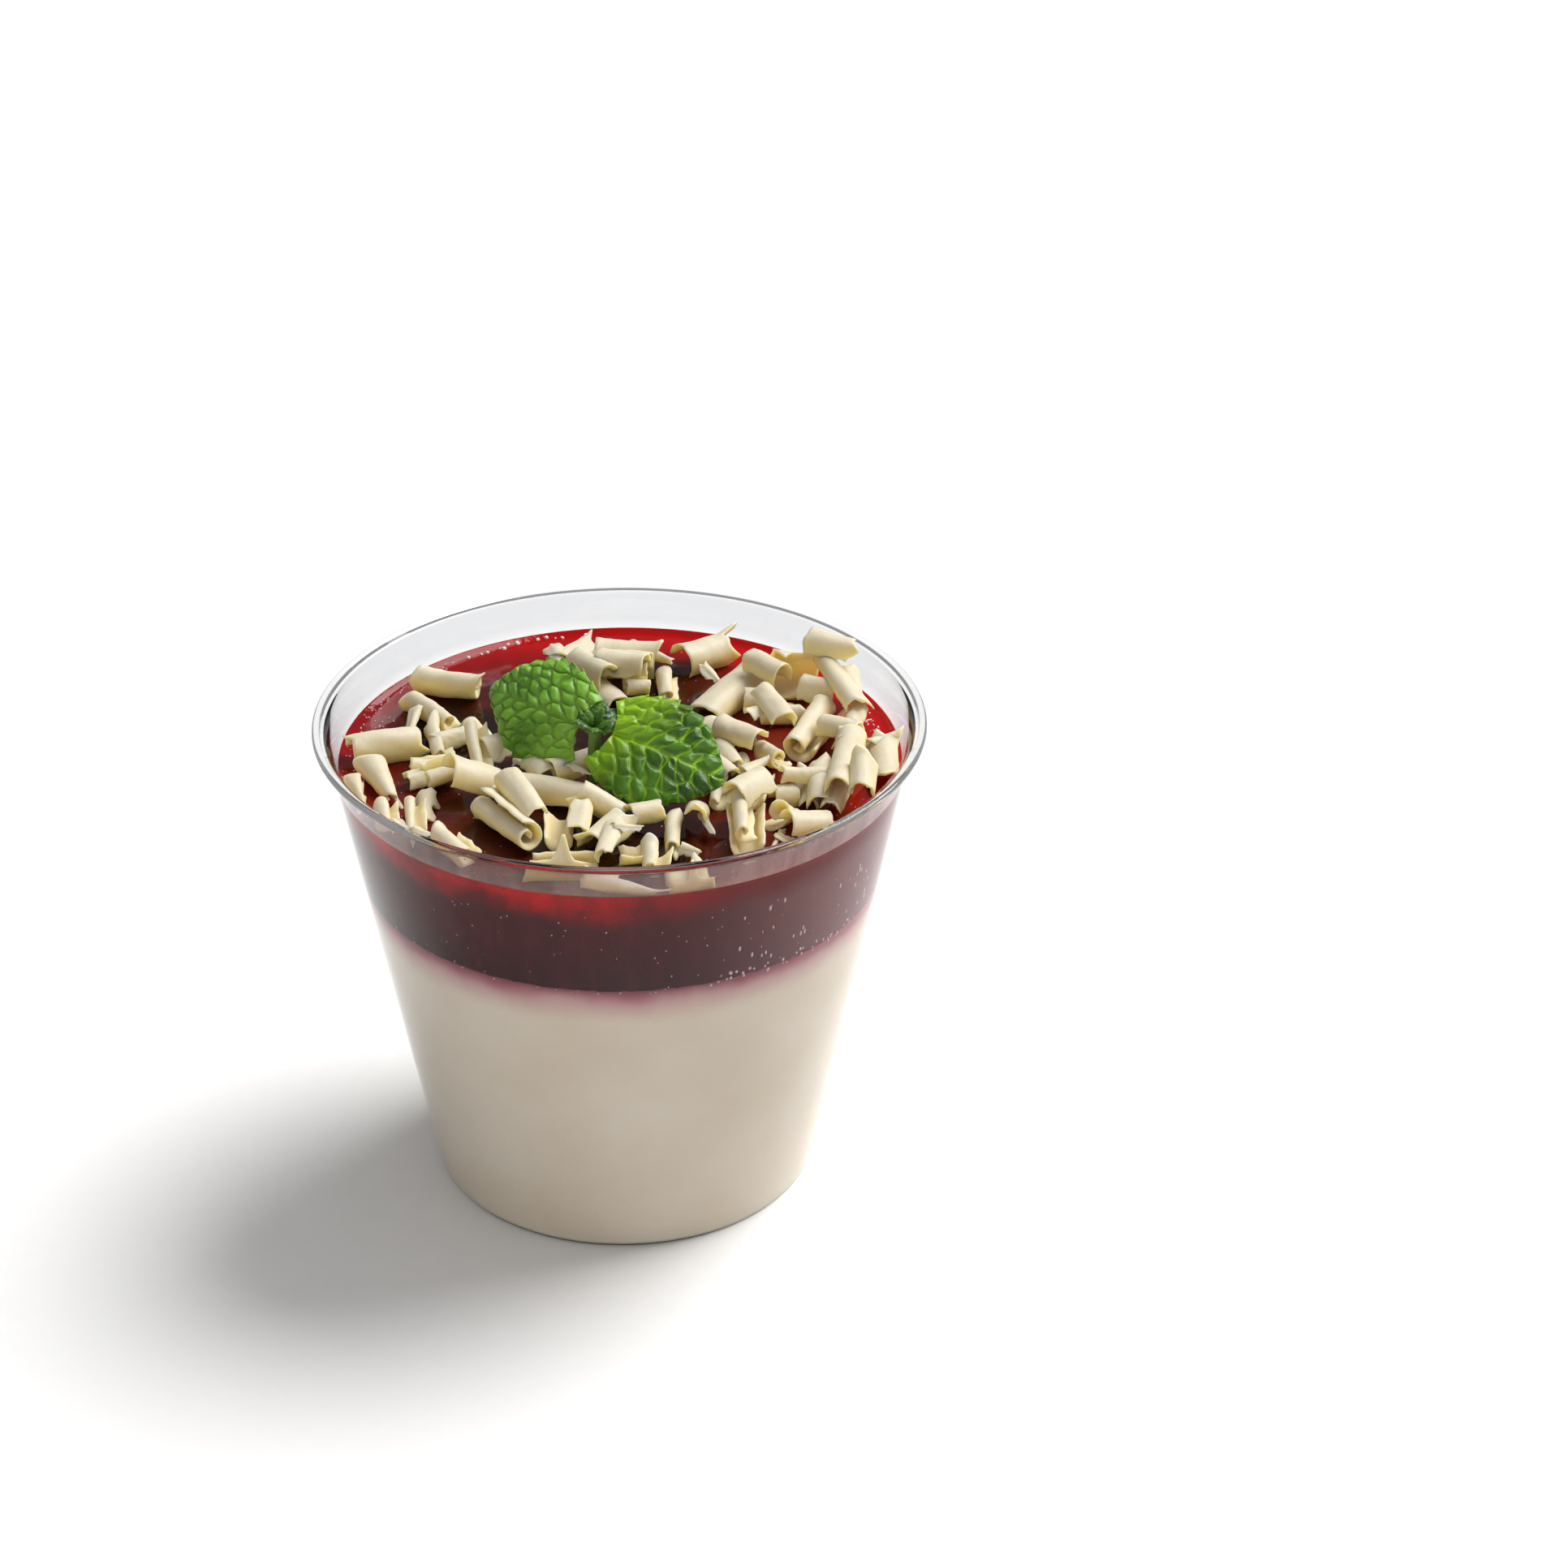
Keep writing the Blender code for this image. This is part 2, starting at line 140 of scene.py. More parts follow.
# Each curl in the order in which they fell: the two ends of its axis seen from above, its radius,
# its form, and the way its open side faces, turned about its axis from straight up.
Curl = namedtuple("Curl", "start end radius form facing")
CURLS = [
    ((-39.6, -0.5), (-29.6, 2.8), 2.3, "trough", 150),
    ((-35.8, -5.0), (-32.6, -13.0), 2.3, "cone", 200),
    ((-39.0, -9.8), (-37.3, -15.2), 1.5, "cone", 180),
    ((-30.5, -4.8), (-24.5, -4.5), 1.6, "roll", 160),
    ((-28.2, -9.6), (-22.8, -7.9), 1.9, "roll", 150),
    ((-25.2, -13.1), (-17.6, -11.2), 2.2, "trough", 170),
    ((-15.6, -11.2), (-4.3, -14.8), 2.4, "trough", 190),
    ((-28.0, -12.6), (-28.2, -20.0), 1.4, "shard", 150),
    ((-35.1, -16.4), (-34.3, -22.0), 1.6, "roll", 160),
    ((-31.3, -17.5), (-31.0, -24.3), 1.3, "roll", 170),
    ((-25.3, -26.7), (-21.7, -31.5), 2.0, "roll", 190),
    ((-19.6, -19.0), (-13.0, -28.8), 2.5, "roll", 60),
    ((-17.8, -14.6), (-13.6, -18.2), 1.5, "shard", 200),
    ((-8.9, -18.5), (-9.0, -28.0), 1.8, "trough", 345),
    ((-6.3, -18.3), (0.8, -20.8), 1.7, "trough", 120),
    ((-0.2, -23.8), (-4.4, -29.8), 1.8, "trough", 210),
    ((-12.7, -33.2), (-3.3, -33.8), 2.2, "trough", 160),
    ((4.2, -31.2), (4.1, -36.0), 1.8, "roll", 150),
    ((7.6, -22.2), (7.3, -30.0), 1.5, "roll", 250),
    ((10.9, -18.5), (10.5, -25.5), 1.4, "trough", 200),
    ((-5.6, -39.8), (5.4, -39.6), 1.7, "cone", 180),
    ((6.6, -39.4), (12.9, -37.8), 1.6, "trough", 170),
    ((17.4, -19.0), (17.4, -32.0), 2.5, "trough", 0),
    ((17.1, -19.5), (17.1, -31.0), 1.2, "roll", 90),
    ((19.4, -10.0), (17.6, -16.5), 2.1, "roll", 170),
    ((22.2, -22.0), (25.0, -19.0), 2.2, "cone", 160),
    ((23.2, -26.0), (29.4, -23.8), 1.7, "trough", 170),
    ((27.0, -9.3), (27.3, -17.5), 1.1, "trough", 200),
    ((29.5, -9.5), (28.6, -20.0), 1.3, "trough", 170),
    ((34.0, -2.5), (30.9, -20.5), 1.4, "roll", 160),
    ((34.9, -15.0), (34.3, -21.0), 1.3, "roll", 200),
    ((38.2, -2.5), (38.4, -11.5), 2.0, "cone", 180),
    ((21.8, -14.8), (25.2, -13.8), 1.4, "trough", 170),
    ((21.0, -1.5), (23.2, -10.5), 1.7, "roll", 200),
    ((18.4, -3.5), (18.4, -7.6), 1.3, "trough", 190),
    ((30.8, 9.8), (25.6, -3.2), 2.5, "roll", 160),
    ((22.8, 18.5), (30.3, 18.5), 3.2, "trough", 290),
    ((35.2, 4.5), (30.5, 19.5), 1.5, "trough", 180),
    ((28.8, 20.0), (35.2, 17.2), 1.7, "trough", 160),
    ((21.8, 24.0), (13.8, 11.5), 2.5, "trough", 190),
    ((21.0, 9.5), (26.6, 10.0), 1.9, "roll", 170),
    ((13.0, 6.8), (18.6, 1.2), 2.3, "trough", 180),
    ((9.5, 27.2), (16.0, 31.2), 2.4, "trough", 150),
    ((7.0, 24.0), (7.3, 16.0), 1.6, "roll", 200),
    ((-3.5, 28.5), (5.8, 27.5), 2.4, "trough", 150),
    ((0.8, 19.2), (4.8, 19.8), 1.6, "roll", 150),
    ((-8.2, 28.0), (-4.6, 36.6), 2.7, "shard", 180),
    ((-4.0, 20.5), (0.0, 14.0), 1.9, "trough", 190),
    ((-30.0, 21.0), (-21.0, 18.5), 2.4, "roll", 150),
    ((-31.0, 16.2), (-25.2, 8.2), 1.9, "roll", 190),
    ((-27.6, 6.5), (-26.2, -1.5), 1.5, "roll", 200),
    ((-22.1, 8.0), (-18.6, 0.0), 1.7, "roll", 190),
    ((-21.9, 2.0), (-20.4, -6.5), 1.5, "roll", 180),
    ((15.2, -9.0), (13.9, -17.0), 1.4, "roll", 180),
]

# A curl here has this many points along it and round it, and is this many times as full as the
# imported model's. It wraps this far in degrees, give or take the spread, and is wound as a spiral
# where it wraps farther than this in radians. It is thin up to this radius, and thicker past it.
CURL_ROWS = 20
CURL_COLUMNS = 36
CURL_SEED = 500
WRAPS = {"roll": 520, "trough": 215, "cone": 430, "shard": 160}
WRAP_SPREAD = (-20, 25)
SPIRAL_WRAP = 5.5
THIN = 0.52
THICK = 0.72
THIN_RADIUS = 1.2
FULLER = 1.22

# How uneven a curl is: the teeth on each torn edge, how far they stand out at its sides and its
# ends, how high and how wide its crumples are, and how far its first edge comes loose, in mm. Its
# oval is a share of its radius, and its sag and its flare past the ends are shares of its length.
# Its rim thins out, over this width, to this share of the thickness.
TEETH = 4
SIDE_TEAR = 0.35
END_TEAR = 0.38
CRUMPLES = [(0.10, 5.0), (0.035, 1.6)]
LOOSE = 0.9
OVAL = 0.08
SAG = 0.035
END_FLARE = 0.35
RIM_WIDTH = 0.7
RIM_SHARE = 0.3

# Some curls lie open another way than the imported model's, by the curl's number: the form, the
# facing, and how much fuller.
OPENED = {
    16: ("trough", 175, 1.25),
    17: ("trough", 10, 1.0),
    22: ("trough", 12, 1.05),
    23: ("trough", 0, 0.86),
    24: ("roll", 200, 1.3),
    29: ("trough", 170, 1.35),
    30: ("trough", 175, 1.4),
    31: ("trough", 185, 1.35),
    32: ("trough", 175, 1.0),
    33: ("trough", 175, 1.2),
}

# Long teeth on some curls, by the curl's number: the edge (0 near end, 1 far end, 2 and 3 the
# sides), its middle and half width as shares of that edge, and its length.
SPIKES = {
    1: [(1, 0.2, 0.12, 1.4), (0, 0.7, 0.1, 1.0)],
    2: [(1, 0.75, 0.14, 3.0), (0, 0.3, 0.15, 1.2)],
    3: [(1, 0.2, 0.15, 2.2)],
    8: [(3, 0.3, 0.14, 2.2), (3, 0.8, 0.2, 3.0), (2, 0.5, 0.2, 1.2)],
    10: [(1, 0.8, 0.15, 2.4)],
    11: [(0, 0.5, 0.2, 1.4)],
    12: [(0, 0.35, 0.16, 2.0)],
    14: [(0, 0.2, 0.16, 3.2), (0, 0.75, 0.16, 1.6)],
    15: [(0, 0.3, 0.15, 1.2)],
    16: [(1, 0.3, 0.2, 1.8), (0, 0.8, 0.15, 1.6)],
    17: [(3, 0.5, 0.16, 3.6), (3, 0.5, 0.4, 1.0), (0, 0.7, 0.3, 1.2), (1, 0.6, 0.3, 1.0)],
    18: [(0, 0.5, 0.2, 1.4)],
    19: [(1, 0.7, 0.15, 2.2), (0, 0.4, 0.2, 1.6)],
    20: [(1, 0.4, 0.2, 1.2)],
    21: [(1, 0.5, 0.2, 2.2)],
    22: [(3, 0.5, 0.15, 2.8), (3, 0.5, 0.5, 0.5)],
    26: [(1, 0.8, 0.13, 3.6)],
    27: [(1, 0.2, 0.12, 1.6)],
    28: [(0, 0.3, 0.25, 2.0), (0, 0.8, 0.15, 1.5)],
    29: [(0, 0.6, 0.2, 1.8)],
    30: [(0, 0.2, 0.2, 1.8)],
    31: [(0, 0.4, 0.25, 1.4), (1, 0.6, 0.2, 1.0)],
    32: [(0, 0.8, 0.14, 3.4), (1, 0.5, 0.2, 1.8), (0, 0.4, 0.15, 1.2)],
    36: [(0, 0.3, 0.2, 1.6)],
    37: [(2, 0.25, 0.2, 2.6), (3, 0.7, 0.25, 1.8)],
    38: [(1, 0.5, 0.25, 2.6), (0, 0.4, 0.2, 1.4)],
    39: [(1, 0.3, 0.25, 1.4)],
    40: [(0, 0.35, 0.22, 3.0)],
    41: [(1, 0.4, 0.15, 1.0)],
    43: [(1, 0.25, 0.2, 1.6), (1, 0.8, 0.13, 3.6)],
    45: [(0, 0.2, 0.2, 1.4), (1, 0.7, 0.2, 1.2)],
    47: [(1, 0.45, 0.22, 1.4), (0, 0.2, 0.2, 1.0)],
    49: [(1, 0.55, 0.12, 1.0), (0, 0.4, 0.15, 0.9)],
    50: [(0, 0.3, 0.2, 1.2), (0, 0.8, 0.12, 3.4)],
    51: [(0, 0.5, 0.14, 3.4)],
    52: [(1, 0.3, 0.2, 1.0)],
}

# Thin torn bits that lie between and on the curls: the two ends of the axis seen from above, the
# radius, the form, the way the open side faces, the height of its middle, and its tilt.
FIRST_SLIVER = 101
SLIVERS = [
    ((-16.2, -15.8), (-11.8, -26.0), 1.6, "trough", 150, 73.0, -6),
    ((-30.0, 12.0), (-31.0, 6.0), 0.8, "shard", 160, 69.2, -6),
    ((-20.0, -1.6), (-16.4, 0.4), 1.8, "trough", 180, 69.8, 4),
    ((-5.6, -21.2), (-6.2, -28.8), 1.3, "trough", 230, 71.0, 0),
    ((-0.8, -27.2), (-2.6, -35.8), 1.3, "trough", 140, 71.2, 0),
    ((-1.2, -28.8), (3.2, -29.4), 0.8, "shard", 180, 72.0, 4),
    ((-0.4, -32.6), (4.4, -32.0), 1.2, "trough", 0, 69.6, 0),
    ((1.2, -22.6), (5.6, -20.8), 1.6, "trough", 170, 70.4, 0),
    ((22.8, -25.0), (20.9, -31.0), 0.45, "shard", 180, 69.0, 0),
    ((24.2, 0.6), (20.8, 8.6), 1.6, "trough", 160, 73.4, 8),
    ((19.0, 3.6), (23.2, 6.2), 1.2, "shard", 190, 72.4, 10),
    ((14.6, -2.6), (16.6, -9.2), 1.4, "trough", 180, 70.4, 0),
    ((12.6, -6.4), (16.4, -12.0), 1.5, "trough", 160, 70.6, 0),
    ((-13.0, -5.4), (-10.6, -10.0), 1.5, "trough", 180, 70.0, 0),
    ((-10.0, -9.2), (-4.2, -6.4), 1.7, "trough", 170, 70.6, 4),
    ((-8.4, -8.8), (-4.4, -12.8), 0.9, "shard", 200, 71.4, 4),
    ((34.8, 19.0), (35.0, 11.2), 1.3, "trough", 190, 71.0, 0),
    ((35.4, 6.2), (32.4, -6.4), 1.3, "trough", 170, 71.6, 4),
    ((-9.8, 30.8), (-8.6, 25.4), 1.3, "shard", 180, 69.4, 0),
    ((8.2, -29.4), (11.2, -31.2), 0.7, "shard", 160, 69.0, 0),
    ((-29.4, -24.2), (-26.0, -26.0), 0.7, "shard", 180, 69.4, 0),
    ((24.6, -21.2), (27.2, -23.6), 0.8, "shard", 180, 69.4, -6),
    ((36.6, -3.6), (41.4, -0.6), 1.3, "cone", 170, 71.4, 10),
    ((12.8, 22.4), (15.4, 18.4), 0.8, "shard", 170, 70.4, -10),
    ((-31.2, -24.6), (-32.6, -21.0), 0.9, "shard", 180, 69.4, 0),
    ((24.4, -28.6), (21.4, -27.0), 0.7, "shard", 10, 69.6, 14),
    ((10.6, -36.0), (10.0, -32.6), 0.8, "shard", 180, 69.6, 4),
    ((27.4, 14.2), (32.6, 12.0), 1.6, "trough", 180, 71.6, 6),
    ((18.6, 13.4), (22.6, 13.0), 1.4, "trough", 180, 70.2, 0),
    ((4.6, 22.6), (-2.2, 24.2), 2.0, "trough", 165, 70.8, 0),
    ((-6.6, 24.4), (-1.4, 17.4), 1.9, "trough", 170, 71.4, 6),
    ((17.6, -12.6), (21.6, -9.0), 1.3, "cone", 200, 72.0, 6),
    ((23.0, -13.2), (29.6, -12.6), 1.2, "trough", 165, 71.0, -4),
    ((-27.4, 2.8), (-23.0, 5.2), 1.0, "trough", 170, 69.2, 0),
    ((-31.0, -8.2), (-26.6, -6.2), 1.0, "trough", 180, 69.0, 0),
    ((29.6, -21.0), (31.6, -14.0), 1.1, "trough", 170, 70.2, 0),
    ((15.8, -21.6), (20.6, -16.6), 1.7, "trough", 180, 73.0, 0),
    ((11.6, -20.8), (13.2, -27.0), 0.5, "shard", 180, 69.2, 0),
    ((24.6, 15.4), (19.8, 20.2), 2.0, "trough", 170, 72.6, 4),
    ((29.6, 1.8), (35.0, -1.2), 1.6, "trough", 185, 71.8, 4),
    ((-3.0, 22.4), (4.4, 19.6), 1.9, "trough", 172, 72.2, 4),
    ((2.2, 29.6), (8.4, 24.4), 1.5, "cone", 180, 71.0, 0),
    ((14.8, 0.4), (20.6, -4.2), 1.9, "trough", 170, 72.0, 0),
    ((-15.4, -3.4), (-13.2, -4.8), 0.7, "shard", 180, 69.0, 0),
]

# The mint. A leaf has its foot, measured from the sprig's tip, its length and width, its heading,
# pitch and bank in degrees, how far its midrib arches, its sides droop and its foot is lobed, and
# its lanes between the side veins and the seed of its cells.
SPRIG = (-3.6, -8.9)
BUD_HEIGHT = 77.0
Leaf = namedtuple("Leaf", "foot length width heading pitch bank arch droop lobe lanes seed")
LEAVES = {
    "mint_leaf_left": Leaf((-2.3, 1.7, -0.2), 18.5, 16.6, 135, -1, -52, 1.3, 1.6, 1.2, 8, 21),
    "mint_leaf_right": Leaf((2.4, -0.7, -0.4), 18.0, 18.0, -24, -14, 36, 1.5, 1.2, 2.0, 7, 22),
}
LEAF_COLOURS = {
    "mint_leaf_left": {
        "Dark": (0.072, 0.220, 0.006),
        "Light": (0.22, 0.48, 0.04),
        # Painted shade: the valleys between the swollen cells are darker.
        "Valley": (0.040, 0.135, 0.004),
        "Veins": (0.20, 0.39, 0.035),
        "Young_skin": (0.25, 0.48, 0.05),
    },
    "mint_leaf_right": {
        "Dark": (0.018, 0.068, 0.003),
        "Light": (0.074, 0.205, 0.006),
        "Valley": (0.060, 0.180, 0.005),
        "Veins": (0.32, 0.57, 0.02),
        "Young_skin": (0.29, 0.53, 0.012),
    },
    "bud": {
        "Dark": (0.012, 0.048, 0.006),
        "Light": (0.050, 0.140, 0.012),
        "Valley": (0.020, 0.070, 0.006),
        "Veins": (0.16, 0.30, 0.04),
        "Young_skin": (0.06, 0.15, 0.02),
    },
}

# The young leaflets of the bud.
LEAFLETS = [
    Leaf((0.3, 0.2, 0.6), 4.6, 3.6, 78, 28, 0, 0.5, 0.5, 0.2, 5, 60),
    Leaf((0.6, -0.2, 0.3), 5.4, 3.8, 48, 12, 20, 0.5, 0.5, 0.2, 5, 61),
    Leaf((-0.2, 0.3, 0.2), 4.2, 3.4, 118, 20, -20, 0.5, 0.5, 0.2, 5, 62),
    Leaf((-0.4, -0.2, 0.4), 3.4, 2.8, 200, 30, 0, 0.4, 0.4, 0.2, 5, 63),
    Leaf((0.1, -0.5, 0.3), 3.4, 2.8, 262, 22, 0, 0.4, 0.4, 0.2, 5, 64),
    Leaf((0.5, -0.4, 0.7), 3.0, 2.6, 320, 34, 0, 0.4, 0.4, 0.2, 5, 65),
    Leaf((0.1, 0.0, 1.0), 2.6, 1.8, 20, 62, 0, 0.3, 0.3, 0.1, 5, 66),
    Leaf((-0.1, 0.0, 1.0), 2.6, 1.8, 170, 62, 0, 0.3, 0.3, 0.1, 5, 67),
]

# How a blade is made: its points along and across, the teeth on each side, its thickness, and how
# far its skin swells between the veins.
Blade = namedtuple("Blade", "rows columns teeth thickness swell")
GROWN = Blade(150, 150, 9, 0.32, 0.62)
YOUNG = Blade(24, 24, 5, 0.22, 0.22)

# A blade's outline: where on its sine it starts, the power and the least share of its half width,
# how deep its teeth cut as a share of that, and how far they slant.
FOOT_START = 0.16
FULLNESS = 0.8
LEAST_HALF = 0.012
TOOTH_DEPTH = 0.085
TOOTH_SLANT = 1.5

# The half widths of its veins: the midrib's in mm, and the others' as shares of a lane. Before
# any seed of its cells is looked at, the nearest counts as this far away.
MIDRIB = 0.30
SIDE_VEIN = 0.055
SMALL_VEIN = 0.065
NO_SEED = 9.0

# The stem: its radius, how much of that its four corners stand out, how deep it stands in the
# jelly, how far it goes up into the bud, and how far its foot leans out from under the bud.
STEM_RADIUS = 0.85
STEM_CORNERS = 0.14
STEM_FOOT = 0.4
STEM_TIP = 0.6
STEM_LEAN = 0.5

# The two soft suns: where each shines from, its strength, its spread in degrees and its colour.
SUNS = {
    "key": ((0.53, 0.34, 0.79), 3.75, 42, (1.0, 0.99, 0.975)),
    "fill": ((-0.1, -0.97, 0.22), 0.42, 40, (1.0, 0.98, 0.94)),
}

# The surroundings, low and overhead.
LOW_GREY = (0.24, 0.243, 0.25)
HIGH_GREY = (0.39, 0.39, 0.39)

# The camera: its place, how it is turned in radians, its lens, and the sensor's width in mm.
CAMERA_PLACE = (0.0, -530.6, 355.1)
CAMERA_PAN = 0.0454
CAMERA_PITCH = 0.5032
CAMERA_ROLL = 0.0055
CAMERA_LENS = 94.0
CAMERA_SENSOR = 36.0


# ---------------------------------------------------------------- meshes

def stacked(*parts):
    """Arrays of one shape, or numbers, laid side by side as the last axis."""
    return np.stack(np.broadcast_arrays(*parts), axis=-1)


def shell(outer, inner):
    """Two grids joined side by side into the rows of a closed loop."""
    return np.concatenate([outer, inner[:, ::-1]], axis=1)


def grid_faces(rows, columns, wrap=False):
    """Quads of a grid whose point (row, column) is number row * columns + column."""
    row = np.arange(rows - 1)[:, None]
    column = np.arange(columns if wrap else columns - 1)[None, :]
    after = (column + 1) % columns
    corners = [row * columns + column, row * columns + after]
    corners += [(row + 1) * columns + after, (row + 1) * columns + column]
    return stacked(*corners).reshape(-1, 4)


def make_piece(name, points, faces, material, replaced=(), values=None, uv=None):
    """A mesh piece from points in mm and a list of face arrays, riding on the root body."""
    mesh = bpy.data.meshes.new(name)
    polygons = [face for block in faces for face in block.tolist()]
    mesh.from_pydata((points * MM).tolist(), [], polygons)
    mesh.validate()
    mesh.materials.append(material)
    mesh.shade_smooth()
    for label, value in (values or {}).items():
        layer = mesh.attributes.new(label, "FLOAT", "POINT")
        layer.data.foreach_set("value", value.astype(np.float32).ravel())
    if uv is not None:
        corner = np.zeros(len(mesh.loops), np.int32)
        mesh.loops.foreach_get("vertex_index", corner)
        layer = mesh.uv_layers.new(name="UVMap")
        layer.data.foreach_set("uv", uv[corner].astype(np.float32).ravel())
    piece = bpy.data.objects.new(name, mesh)
    bpy.context.scene.collection.objects.link(piece)
    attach(piece, "root")
    if replaced:
        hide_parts(*replaced)
    return piece


def places_of(items, label):
    """A place that each vertex or face of a mesh keeps, as rows in mm."""
    values = np.zeros(3 * len(items), np.float32)
    items.foreach_get(label, values)
    return values.astype(float).reshape(-1, 3) / MM


def turned(profile, steps=ROUND_STEPS):
    """Points and faces of a profile of (radius, height) carried once round the Z axis.

    A profile point (r, z) goes to (r cos a, r sin a, z) at each angle a. The profile starts and
    ends on the axis, where its ring is a single point.
    """
    profile = np.asarray(profile, float)
    angle = np.arange(steps) * 2 * math.pi / steps
    body = profile[1:-1]
    radius = body[:, :1]
    sides = stacked(radius * np.cos(angle), radius * np.sin(angle), body[:, 1:]).reshape(-1, 3)
    points = np.concatenate([sides, [[0, 0, profile[0, 1]], [0, 0, profile[-1, 1]]]])
    here = np.arange(steps)
    after = (here + 1) % steps
    last = (len(body) - 1) * steps
    first_fan = np.stack([here, after, np.full(steps, len(sides))], axis=-1)
    last_fan = np.stack([last + after, last + here, np.full(steps, len(sides) + 1)], axis=-1)
    return points, [grid_faces(len(body), steps, wrap=True)[:, ::-1], first_fan, last_fan]


def arc(centre, radius, first, last, steps):
    """Points on a round stretch of a profile, with its angles in degrees from +X."""
    turn = np.radians(np.linspace(first, last, steps + 1))
    return list(zip(centre[0] + radius * np.cos(turn), centre[1] + radius * np.sin(turn)))


def outer_radius(height):
    """Radius of the cup's outside, which widens evenly from its base to its mouth."""
    return BASE_RADIUS + (MOUTH_RADIUS - BASE_RADIUS) * height / CUP_HEIGHT


def flare(height):
    """How far the wall stands out near the mouth, growing with the square of the height."""
    return FLARE * np.clip(1 - (CUP_HEIGHT - height) / FLARE_DEPTH, 0, 1) ** 2


def inner_radius(height):
    """Radius of the cup's inside, one wall in from its outside."""
    return outer_radius(height) - WALL


def ripple(points, size, seed, waves=7):
    """Smooth unevenness from -1 to 1: the mean of sine waves in random directions."""
    random = np.random.default_rng(seed)
    direction = random.normal(size=(waves, points.shape[-1]))
    direction /= np.linalg.norm(direction, axis=1, keepdims=True)
    wave = direction * 2 * math.pi / size * random.uniform(0.6, 1.5, (waves, 1))
    return np.sin(points @ wave.T + random.uniform(0, 2 * math.pi, waves)).mean(axis=-1) * 1.6


# ---------------------------------------------------------------- cup and fill

def make_cup(material):
    """The clear cup: a turned profile up its inside, over the rim and down its outside.

    The rim's section is an ellipse, and the wall flares out to it.
    """
    inside = inner_radius(FLOOR)
    fillet = (inside - FLOOR_FILLET, FLOOR + FLOOR_FILLET)
    under = CUP_HEIGHT - 2 * LIP_RISE - UNDER_BEND
    bend = (outer_radius(under) + flare(under) + UNDER_BEND, under)
    foot = (BASE_RADIUS - FOOT_CORNER, FOOT_CORNER)
    profile = [(0.0, FLOOR), (inside * 0.5, FLOOR)]
    profile += arc(fillet, FLOOR_FILLET, -90, 0, 10)
    heights = np.linspace(FLOOR + FLOOR_FILLET + 2.0, CUP_HEIGHT - LIP_RISE - 0.2, WALL_STEPS)
    profile += [(inner_radius(height) + flare(height), height) for height in heights]
    lip = np.array(arc((0, 0), 1, 165, -90, 22)) * (LIP_REACH, LIP_RISE)
    profile += (lip + (RIM_RADIUS - LIP_REACH, CUP_HEIGHT - LIP_RISE)).tolist()
    profile += arc(bend, UNDER_BEND, 90, 175, 6)
    heights = np.linspace(under - 0.3, FOOT_CORNER + 2.0, WALL_STEPS)
    profile += [(outer_radius(height) + flare(height), height) for height in heights]
    profile += arc(foot, FOOT_CORNER, 0, -90, 8)
    profile += [(RING_INSIDE, 0.0), (RING_INSIDE - 0.5, UNDERSIDE)]
    profile += [(RING_INSIDE * 0.5, UNDERSIDE), (0.0, UNDERSIDE)]
    points, faces = turned(profile)
    return make_piece("clear_cup", points, faces, material, ["cup"])


def make_cream(material, layer):
    """The white layer: a turned profile from the middle of its top, down the wall to its base."""
    base = FLOOR - INTO_FLOOR
    middle = UNDERSIDE + ABOVE_UNDERSIDE
    inside = inner_radius(base + CREAM_FILLET) + INTO_WALL
    fillet = (inside - CREAM_FILLET, base + CREAM_FILLET)
    profile = [(0.0, layer)]
    profile += [(radius, layer) for radius in np.linspace(4, inner_radius(layer) - 1.0, 8)]
    heights = np.linspace(layer, fillet[1] + 1.0, 40)
    profile += [(inner_radius(height) + INTO_WALL, height) for height in heights]
    profile += arc(fillet, CREAM_FILLET, 0, -90, 10)
    profile += [(RING_INSIDE + ABOVE_UNDERSIDE, base), (BASE_RADIUS - 5.0, middle), (0.0, middle)]
    points, faces = turned(profile)
    return make_piece("set_cream", points, faces, material, ["panna_cotta"])


def jelly_height(radius):
    """Height of the jelly's top: flat, and drawn up where it meets the wall."""
    edge = inner_radius(JELLY_TOP)
    climb = np.clip((radius - edge + MENISCUS_WIDTH) / MENISCUS_WIDTH, 0.0, 1.0)
    return JELLY_TOP + MENISCUS_RISE * climb ** 2


def make_jelly(top_material, side_material, layer):
    """The red layer: a turned profile whose top is lifted by slow ripples away from the wall."""
    edge = inner_radius(JELLY_TOP + MENISCUS_RISE) + INTO_WALL
    base = layer - INTO_CREAM
    radii = np.concatenate([np.linspace(0, edge - 2.5, 60), np.linspace(edge - 2.3, edge, 14)])
    profile = [(radius, float(jelly_height(radius))) for radius in radii]
    heights = np.linspace(JELLY_TOP - 0.2, base, 26)
    profile += [(inner_radius(height) + INTO_WALL, height) for height in heights]
    profile += [(20.0, base), (0.0, base)]
    points, faces = turned(profile)
    top = points[:, 2] > JELLY_TOP - 0.1
    calm = np.clip((edge - np.hypot(points[:, 0], points[:, 1])) / 2.0, 0, 1)
    waves = sum(rise * ripple(points, size, seed) for rise, size, seed in JELLY_RIPPLES)
    points[:, 2] += top * calm * waves
    piece = make_piece("berry_jelly_layer", points, faces, top_material,
                       ["berry_jelly"])
    piece.data.materials.append(side_material)
    centre = places_of(piece.data.polygons, "center")
    outside = np.hypot(centre[:, 0], centre[:, 1]) > inner_radius(centre[:, 2]) + 0.5 * INTO_WALL
    below = centre[:, 2] < JELLY_TOP - 0.25
    piece.data.polygons.foreach_set("material_index", (outside | below).astype(np.int32))
    return piece


